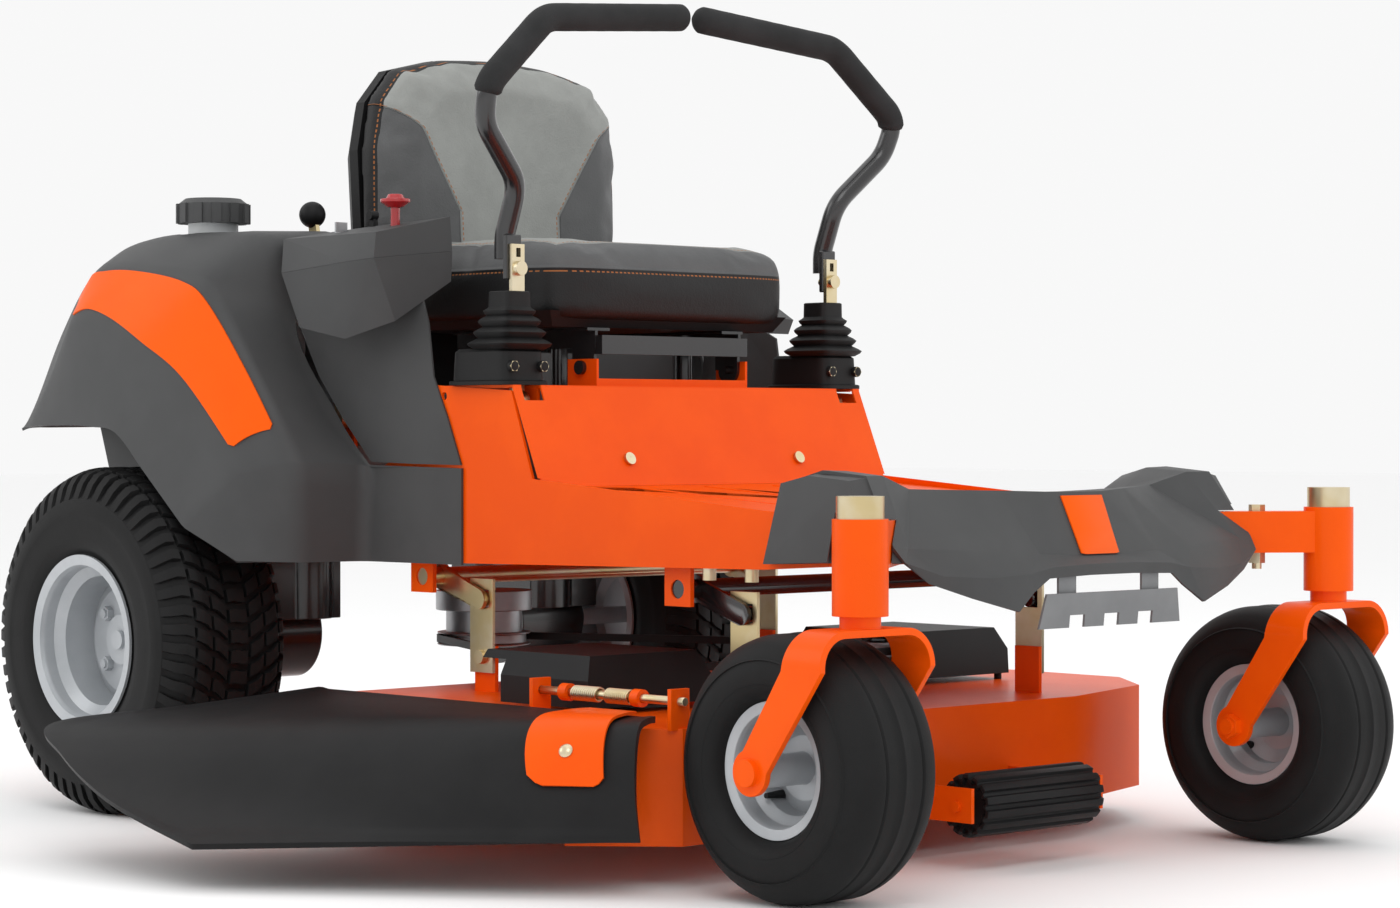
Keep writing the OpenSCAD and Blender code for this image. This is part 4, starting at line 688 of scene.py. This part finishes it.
# bellows boots: height, half sizes and centre of each ring
boots = {"foot": [(561.2, 38, 60), (565.5, 38, 60), (566.5, 36.5, 58.5), (567, 34, 55), (602, 33, 53), (606, 30, 48)],
         "folds": [(605, 34), (609, 40), (612, 41.8), (615, 38), (619, 31), (623, 34.5), (626, 36), (629, 33),
                   (633, 26.5), (637, 30), (640, 31), (643, 28.5), (647, 22.5), (650, 25), (653, 26), (656, 22),
                   (658, 20.5), (676, 20.2), (677, 18.5)],
         "bolts": (-302, -254), "boltZ": 584, "bolt": [(0.01, -613.5), (6, -613), (7, -611.5), (7, -607)],
         "foldsAt": (-276, -572), "footAt": (-278, -552), "sides": 40, "power": 0.32}


def squareRing(cx, cy, z, a, b):
    ring = []
    for k in range(boots["sides"]):
        t = 2 * math.pi * (k + 0.5) / boots["sides"]
        c, s = math.cos(t), math.sin(t)
        ring.append(at(cx + a * math.copysign(abs(c) ** boots["power"], c),
                       cy + b * math.copysign(abs(s) ** boots["power"], s), z))
    return ring


def makeBoots():
    b = Build()
    b.loft([squareRing(*boots["footAt"], z, hx, hy) for z, hx, hy in boots["foot"]])
    b.loft([squareRing(*boots["foldsAt"], z, h, h) for z, h in boots["folds"]])
    for x in boots["bolts"]:
        b.lathe(boots["bolt"], at(x, 0, boots["boltZ"]), "y", 24)
    mesh = b.mesh("boot", 28)
    newObject("bootRight", mesh, "boot_right", replaces=("boot_right",))
    newObject("bootLeft", flipMesh(mesh, "bootLeft"), "boot_left", replaces=("boot_left",))


makeBoots()
print("bars and boots made")

# chute with its moulded border, orange leaf, rod and coil springs
chute = {"rows": [[(-462, -1040, 184), (-484, -1052, 184), (-506, -1064, 178), (-520, -1074, 150),
                   (-526, -1080, 106), (-524, -1084, 62)],
                  [(-464, -900, 184), (-514, -900, 184), (-566, -900, 178), (-596, -916, 150),
                   (-612, -950, 100), (-606, -986, 58)],
                  [(-466, -740, 184), (-550, -730, 182), (-638, -716, 171), (-676, -738, 144),
                   (-696, -800, 92), (-684, -890, 54)],
                  [(-468, -590, 184), (-590, -556, 177), (-710, -520, 162), (-754, -552, 136),
                   (-774, -650, 88), (-762, -795, 50)],
                  [(-470, -440, 184), (-620, -376, 166), (-766, -313, 150), (-812, -400, 124),
                   (-838, -540, 82), (-838, -700, 46)]],
         "leaf": {"rows": (0.28, 0.76), "columns": (0.15, 3.7), "lift": 8.2},
         "rod": {"x": -430, "z": 206, "r": 5, "y": (-1054, -798)},
         "springs": [(-968, -925), (-915, -868)], "coil": 7.6, "wire": 1.4, "turns": 12,
         "t": 5.6, "border": 1.6, "steps": (40, 50), "leafT": 3.0,
         "bolt": ((8, 2), (8, 4.2), (6, 6.2), (2.5, 7.2)),
         "knuckles": ((-985, -972), (-863, -850)), "knuckleR": (5.3, 10)}


def chutePoint(grid, s, c):
    return spline([spline(r, c) for r in grid], s)


def makeChute():
    grid = [[at(*p) for p in r] for r in chute["rows"]]
    along, across = chute["steps"]
    rows = [[chutePoint(grid, 4 * i / along, 5 * j / across) for j in range(across + 1)] for i in range(along + 1)]

    def thick(s, c):
        edge = max(c - 0.93, s - 0.965, 0.05 - s)
        return chute["t"] + (chute["border"] if edge > 0 else 0)
    mesh = shell("chute", rows, thick, 50)
    newObject("chute", mesh, "chute", replaces=("chute",))
    spec = chute["leaf"]
    leaf = []
    for i in range(13):
        s = spec["rows"][0] + (spec["rows"][1] - spec["rows"][0]) * i / 12
        line = []
        for j in range(25):
            t = j / 24
            corner = max(0, abs(i / 12 - 0.5) - 0.38) * 1.6
            c = spec["columns"][0] + (spec["columns"][1] - corner - spec["columns"][0]) * t
            p = chutePoint(grid, s, c)
            du = chutePoint(grid, s + 0.05, c) - p
            dv = chutePoint(grid, s, c + 0.05) - p
            line.append(p + du.cross(dv).normalized() * spec["lift"] / 1000)
        leaf.append(line)
    b = Build()
    bolt = leaf[6][19]
    side = (leaf[6][20] - leaf[6][18]).cross(leaf[7][19] - leaf[5][19]).normalized()
    side = side if side.x < 0 else -side
    up = Vector((0, 0, 1))
    turn = side.cross(up).normalized()
    up = turn.cross(side)
    b.loft([[bolt + side * d / 1000
             + r / 1000 * (math.cos(k * math.pi / 12) * turn + math.sin(k * math.pi / 12) * up)
             for k in range(24)] for r, d in chute["bolt"]])
    newObject("leafBolt", b.mesh("leafBolt", 40), body="discharge_chute", finish="zinc")
    newObject("leaf", shell("leaf", leaf, chute["leafT"], 45), body="discharge_chute", finish="orange_paint")
    # knuckles of the leaf round the rod
    k = Build()
    rod = chute["rod"]
    hole, knuckle = chute["knuckleR"]
    for y0, y1 in chute["knuckles"]:
        section = [(hole, y0), (knuckle, y0), (knuckle, y1), (hole, y1)]
        k.lathe(section, at(rod["x"], 0, rod["z"]), "y", 40, closed=True)
    newObject("knuckles", k.mesh("knuckles"), body="discharge_chute", finish="orange_paint")
    r = Build()
    y0, y1 = rod["y"]
    r.lathe([(0.01, y0), (rod["r"] - 0.6, y0), (rod["r"], y0 + 0.8), (rod["r"], y1 - 0.8),
             (rod["r"] - 0.6, y1), (0.01, y1)], at(rod["x"], 0, rod["z"]), "y", 28)
    for y0, y1 in chute["springs"]:
        steps = chute["turns"] * 20
        path = []
        for n in range(steps + 1):
            t = n / steps
            a = 2 * math.pi * chute["turns"] * t
            path.append(at(rod["x"] + chute["coil"] * math.cos(a), y0 + 2 + (y1 - y0 - 4) * t,
                           rod["z"] + chute["coil"] * math.sin(a)))
        r.tube(path, chute["wire"], 8)
    newObject("chuteRod", r.mesh("chuteRod", 50), "chute_rod", replaces=("chute_rod",))


makeChute()

# fluted front roller
roller = {"r": 37, "y": -1172, "z": 76, "flutes": 14, "deep": 4.5,
          "ends": ((98, 9), (101.9, 5), (101.9, 1.5), (98, 0))}


def makeRoller():
    b = Build()
    n = 168
    rings = []
    for x, drop in [(-x, d) for x, d in roller["ends"]] + list(reversed(roller["ends"])):
        ring = []
        for k in range(n):
            t = 2 * math.pi * k / n
            wave = 0.5 + 0.5 * math.cos(roller["flutes"] * t)
            dip = roller["deep"] * max(0, min(1, (wave - 0.62) / 0.16))
            rr = roller["r"] - drop - dip
            ring.append(at(x, roller["y"] + rr * math.cos(t), roller["z"] + rr * math.sin(t)))
        rings.append(ring)
    b.loft(rings)
    newObject("roller", b.mesh("roller", 26), "front_roller", replaces=("front_roller",))


makeRoller()
print("chute and roller made")

# seat: stuffed pads whose covers are puffed by a short cloth run
seat = {"cushion": {"x": 0, "y": -419, "half": (217, 171), "power": 0.30,
                    "rings": [(0.90, 646), (0.965, 649), (0.99, 660), (0.995, 700), (0.99, 716), (0.965, 729),
                              (0.92, 736), (0.84, 738), (0.68, 735), (0.48, 733), (0.24, 732), (0.04, 732)]},
        "back": {"outline": [(206, 706), (214, 780), (216, 880), (205, 945), (170, 988), (92, 1006), (0, 1011)],
                 "rings": [(1.0, -193), (1.0, -212), (0.985, -226), (0.955, -235), (0.90, -239.5), (0.78, -239),
                           (0.6, -236), (0.35, -234), (0.06, -234)]},
        "remesh": 0.0055, "pressure": 4.0, "frames": 14}


def cushionMesh():
    spec = seat["cushion"]
    b = Build()
    n = 72
    rings = []
    for k, z in spec["rings"]:
        ring = []
        for i in range(n):
            t = 2 * math.pi * i / n
            c, s = math.cos(t), math.sin(t)
            px = math.copysign(abs(c) ** spec["power"], c)
            py = math.copysign(abs(s) ** spec["power"], s)
            roll = 5 * max(0, abs(px) - 0.72) / 0.28 * (1 if z > 725 else 0)
            sink = 4 if z > 730 and k < 0.7 else 0
            ring.append(at(spec["x"] + spec["half"][0] * k * px, spec["y"] + spec["half"][1] * k * py,
                           z + roll - sink))
        rings.append(ring)
    b.loft(rings)
    return b.mesh("cushion", 80)


def backMesh():
    spec = seat["back"]
    fine = []
    for (x0, z0), (x1, z1) in zip(spec["outline"], spec["outline"][1:]):
        fine += [(x0 + (x1 - x0) * k / 6, z0 + (z1 - z0) * k / 6) for k in range(6)]
    pts = [(x, z) for x, z in fine] + [(0, 1011)] + [(-x, z) for x, z in reversed(fine)]
    pts += [(-206 + 412 * k / 14, 706) for k in range(1, 14)]
    b = Build()
    b.loft([[at(x * k, y, 860 + (z - 860) * k) for x, z in pts] for k, y in spec["rings"]])
    return b.mesh("back", 80)


# cloth run: the cover swells a little and creases at its seams
def puff(obj, cap):
    remesh = obj.modifiers.new("remesh", "REMESH")
    remesh.mode = "VOXEL"
    remesh.voxel_size = seat["remesh"]
    applyAll(obj)
    base = [v.co.copy() for v in obj.data.vertices]
    group = obj.vertex_groups.new(name="hold")
    low = min(p.z for p in base)
    deep = max(p.y for p in base)
    tall = obj.name.startswith("back")
    for v in obj.data.vertices:
        held = v.co.y > deep - 0.012 if tall else v.co.z < low + 0.02
        if held:
            group.add([v.index], 1.0, "REPLACE")
    cloth = obj.modifiers.new("cloth", "CLOTH")
    cloth.settings.vertex_group_mass = "hold"
    cloth.settings.use_pressure = True
    cloth.settings.uniform_pressure_force = seat["pressure"]
    cloth.settings.effector_weights.gravity = 0
    cloth.settings.tension_stiffness = 25
    cloth.settings.compression_stiffness = 25
    cloth.settings.bending_stiffness = 2
    cloth.settings.quality = 5
    cloth.point_cache.frame_start = 1
    cloth.point_cache.frame_end = seat["frames"]
    scene = bpy.context.scene
    for f in range(1, seat["frames"] + 1):
        scene.frame_set(f)
    applyAll(obj)
    scene.frame_set(1)
    for v, p in zip(obj.data.vertices, base):
        move = v.co - p
        if move.length > cap:
            v.co = p + move.normalized() * cap
    smoother = obj.modifiers.new("smooth", "SMOOTH")
    smoother.factor = 0.5
    smoother.iterations = 4
    applyAll(obj)
    obj.vertex_groups.clear()
    for p in obj.data.polygons:
        p.use_smooth = True


def vinyl():
    sh = Shader("seat_vinyl")
    x, y, z = sh.axes()
    side = (x - shift["x"] / 1000).math("ABSOLUTE")
    depth = y - shift["y"] / 1000
    light, middle = (0.30, 0.31, 0.295), (0.10, 0.102, 0.104)
    dark, thread = (0.009, 0.009, 0.0095), (0.34, 0.12, 0.035)
    # back: centre panel widens towards the top
    upper = z > 0.758
    bend = (z - 0.80).math("MAXIMUM", 0.0) * 0.62
    swell = (z - 0.905).step(0.0, 0.07) * 0.075
    line = 0.088 + bend + swell
    fromLine = side - line
    # cushion: centre panel is wide with a border along its edge
    edge = (side - 0.186).math("MAXIMUM", (depth + 0.556) * -1.0)
    fromBorder = sh.node("ShaderNodeMix", {"data_type": "FLOAT"}, {0: upper, 2: edge, 3: fromLine}, 0)
    panel = fromBorder > 0.0
    tone = sh.blend(panel, light, middle)
    # outer band is black: the skirt below and the rim of the back
    skirt = (z < 0.7095) * (upper < 0.5)
    rim = ((depth + 0.2225) > 0.0) * upper
    outer = (skirt + rim).clamp()
    tone = sh.blend(outer, tone, dark)
    # a row of stitches beside each seam
    run = sh.node("ShaderNodeMix", {"data_type": "FLOAT"}, {0: upper, 2: x + y, 3: z}, 0)
    dash = (run * 900).math("SINE") > -0.25
    seamA = (fromBorder + 0.0045).math("ABSOLUTE") < 0.0008
    seamB = ((z - 0.7052).math("ABSOLUTE") < 0.0009) * (upper < 0.5)
    seamC = ((depth + 0.2185).math("ABSOLUTE") < 0.0009) * upper
    stitch = ((seamA + seamB + seamC).clamp() * dash).clamp()
    tone = sh.blend(stitch, tone, thread)
    patch = sh.noise(14, 4, 0.6)
    tone = sh.blend(patch.step(0.3, 0.75) * 0.16, tone, (0.02, 0.02, 0.02))
    leather = sh.cells(420)
    folds = sh.noise(24, 3, 0.6, (1.0, 0.45, 1.0))
    groove = 1.0 - (fromBorder.math("ABSOLUTE")).step(0.0, 0.0035)
    pipe = 1.0 - ((z - 0.7095).math("ABSOLUTE")).step(0.0, 0.004) * 1.0
    first = sh.bump(leather, 0.00022)
    second = sh.bump(folds, 0.0035, 0.35, first)
    third = sh.bump(1.0 - groove, 0.0022, 1.0, second)
    rough = 0.46 + 0.12 * patch + 0.2 * stitch
    return sh.finish(base=tone, rough=rough, coat=0.03, coatRough=0.3, specular=0.3,
                     normal=sh.bump((pipe * (upper < 0.5)).clamp(), 0.0016, 0.8, third))


materials["seat_vinyl"] = vinyl()
cushion = newObject("cushion", cushionMesh(), "seat_cushion", replaces=("seat_cushion",))
puff(cushion, 0.012)
back = newObject("back", backMesh(), "seat_backrest", replaces=("seat_backrest",))
puff(back, 0.012)
print("seat made")

# rims with a valve stem
rims = {"rear": {"x": -496, "y": 0, "z": 228.5, "r": 82, "angle": 205},
        "front": {"x": -427.5, "y": -1225, "z": 145, "r": 48, "angle": -40}}


def valve(spec):
    b = Build()
    t = math.radians(spec["angle"])
    y, z = spec["y"] + spec["r"] * math.cos(t), spec["z"] + spec["r"] * math.sin(t)
    x = spec["x"]
    path = [at(x + 22, y, z), at(x + 10, y, z), at(x, y - 1, z), at(x - 12, y - 2, z)]
    b.tube(path, lambda t: 5.2 - 2.2 * t, 16)
    return b.mesh("valve")


for end in ("rear", "front"):
    stem = valve(rims[end])
    for n in ("right", "left"):
        mesh = stem if n == "right" else flipMesh(stem, end + "ValveLeft")
        newObject(end + "Valve" + n, mesh, body=end + "_wheel_" + n, finish="soft_rubber")

# the rest of the CAD pieces, edges rounded: node and edge radius in millimetres
softened = {"main_frame": 1.4, "front_panel": 1.0, "footplate": 1.2, "front_axle": 2.5, "front_cover": 3.0,
            "step_plate": 1.2,
            "console": 9, "console_lid": 7, "side_covers": 1.2, "fuel_tank": 6, "fuel_cap": 2.4, "pto_knob": 0.8,
            "ignition_key": 0.5, "throttle_lever": 0.8, "height_lever": 0.8, "seat_hinge": 1.2, "seat_bracket": 1.2,
            "seat_shell": 8, "lever_base_right": 1.0, "lever_base_left": 1.0, "engine_block": 2.2, "engine_shroud": 3,
            "muffler": 2.5, "transaxle_right": 3, "transaxle_left": 3, "caster_fork_right": 2.2,
            "caster_fork_left": 2.2,
            "caps_and_bolts": 1.4, "deck_shell": 1.6, "belt_covers": 4, "spindle_housings": 1.6, "clutch": 1.2,
            "lift_shaft": 1.2, "front_lift_arms": 1.2, "deck_hangers": 1.0, "rear_rim_right": 1.2, "rear_rim_left": 1.2,
            "front_rim_right": 1.0, "front_rim_left": 1.0}
rounded = {node: soften(node, width) for node, width in softened.items()}


# the ball of the height lever is moulded in black
def partAbove(obj, height, finish):
    other = obj.data.copy()
    for mesh, above in ((obj.data, False), (other, True)):
        bm = bmesh.new()
        bm.from_mesh(mesh)
        drop = [f for f in bm.faces if (f.calc_center_median().z > height) != above]
        bmesh.ops.delete(bm, geom=drop, context="FACES")
        bm.to_mesh(mesh)
        bm.free()
    newObject(obj.name + ".top", other, body=bodyOf[obj.name.split(".")[0]], finish=finish)


partAbove(rounded["height_lever"], 0.7725, "black_plastic")
for node, obj in frame["nodes"].items():
    if node not in softened and slotOf[node] in materials:
        obj.data.materials.clear()
        obj.data.materials.append(materials[slotOf[node]])
print("pieces rounded")

# floor, light and camera
floorMesh = bpy.data.meshes.new("floor")
floorMesh.from_pydata([(-30, -30, 0), (30, -30, 0), (30, 30, 0), (-30, 30, 0)], [], [(0, 1, 2, 3)])
floor = bpy.data.objects.new("floor", floorMesh)
bpy.context.scene.collection.objects.link(floor)
paper = Shader("paper")
paperTone = paper.blend(paper.noise(3, 3), (0.975, 0.975, 0.975), (0.985, 0.985, 0.985))
floorMesh.materials.append(paper.finish(base=paperTone, rough=0.9, specular=0.1))

lamps = {"key": {"at": (-3.2, -3.6, 4.6), "size": (3.0, 3.0), "power": 60},
         "top": {"at": (0.2, 0.4, 4.6), "size": (4.5, 4.5), "power": 30},
         "fill": {"at": (3.6, -3.2, 2.4), "size": (3.0, 3.0), "power": 14},
         "rim": {"at": (-3.4, 3.0, 2.8), "size": (2.5, 2.5), "power": 30}}
for name, spec in lamps.items():
    light = bpy.data.lights.new(name, "AREA")
    light.shape = "RECTANGLE"
    light.size, light.size_y = spec["size"]
    light.energy = spec["power"]
    lamp = bpy.data.objects.new(name, light)
    lamp.location = spec["at"]
    lamp.rotation_euler = (Vector((0, 0, 0.45)) - Vector(spec["at"])).to_track_quat("-Z", "Y").to_euler()
    bpy.context.scene.collection.objects.link(lamp)
world = bpy.data.worlds.new("studio")
bpy.context.scene.world = world
world.use_nodes = True
world.node_tree.nodes["Background"].inputs[0].default_value = (1.0, 1.0, 1.0, 1)
world.node_tree.nodes["Background"].inputs[1].default_value = 0.94
bpy.context.scene.view_settings.view_transform = "Standard"

view = {"at": (-2.79835, -3.2256, 0.5049), "yaw": 43.4, "pitch": -0.4, "lens": 86.19}
camera = bpy.data.objects.new("camera", bpy.data.cameras.new("camera"))
camera.data.lens = view["lens"]
camera.data.sensor_width = 36
camera.data.clip_end = 100
camera.location = view["at"]
camera.rotation_euler = (math.radians(90 + view["pitch"]), 0, -math.radians(view["yaw"]))
bpy.context.scene.collection.objects.link(camera)
bpy.context.scene.camera = camera
print("stage set")
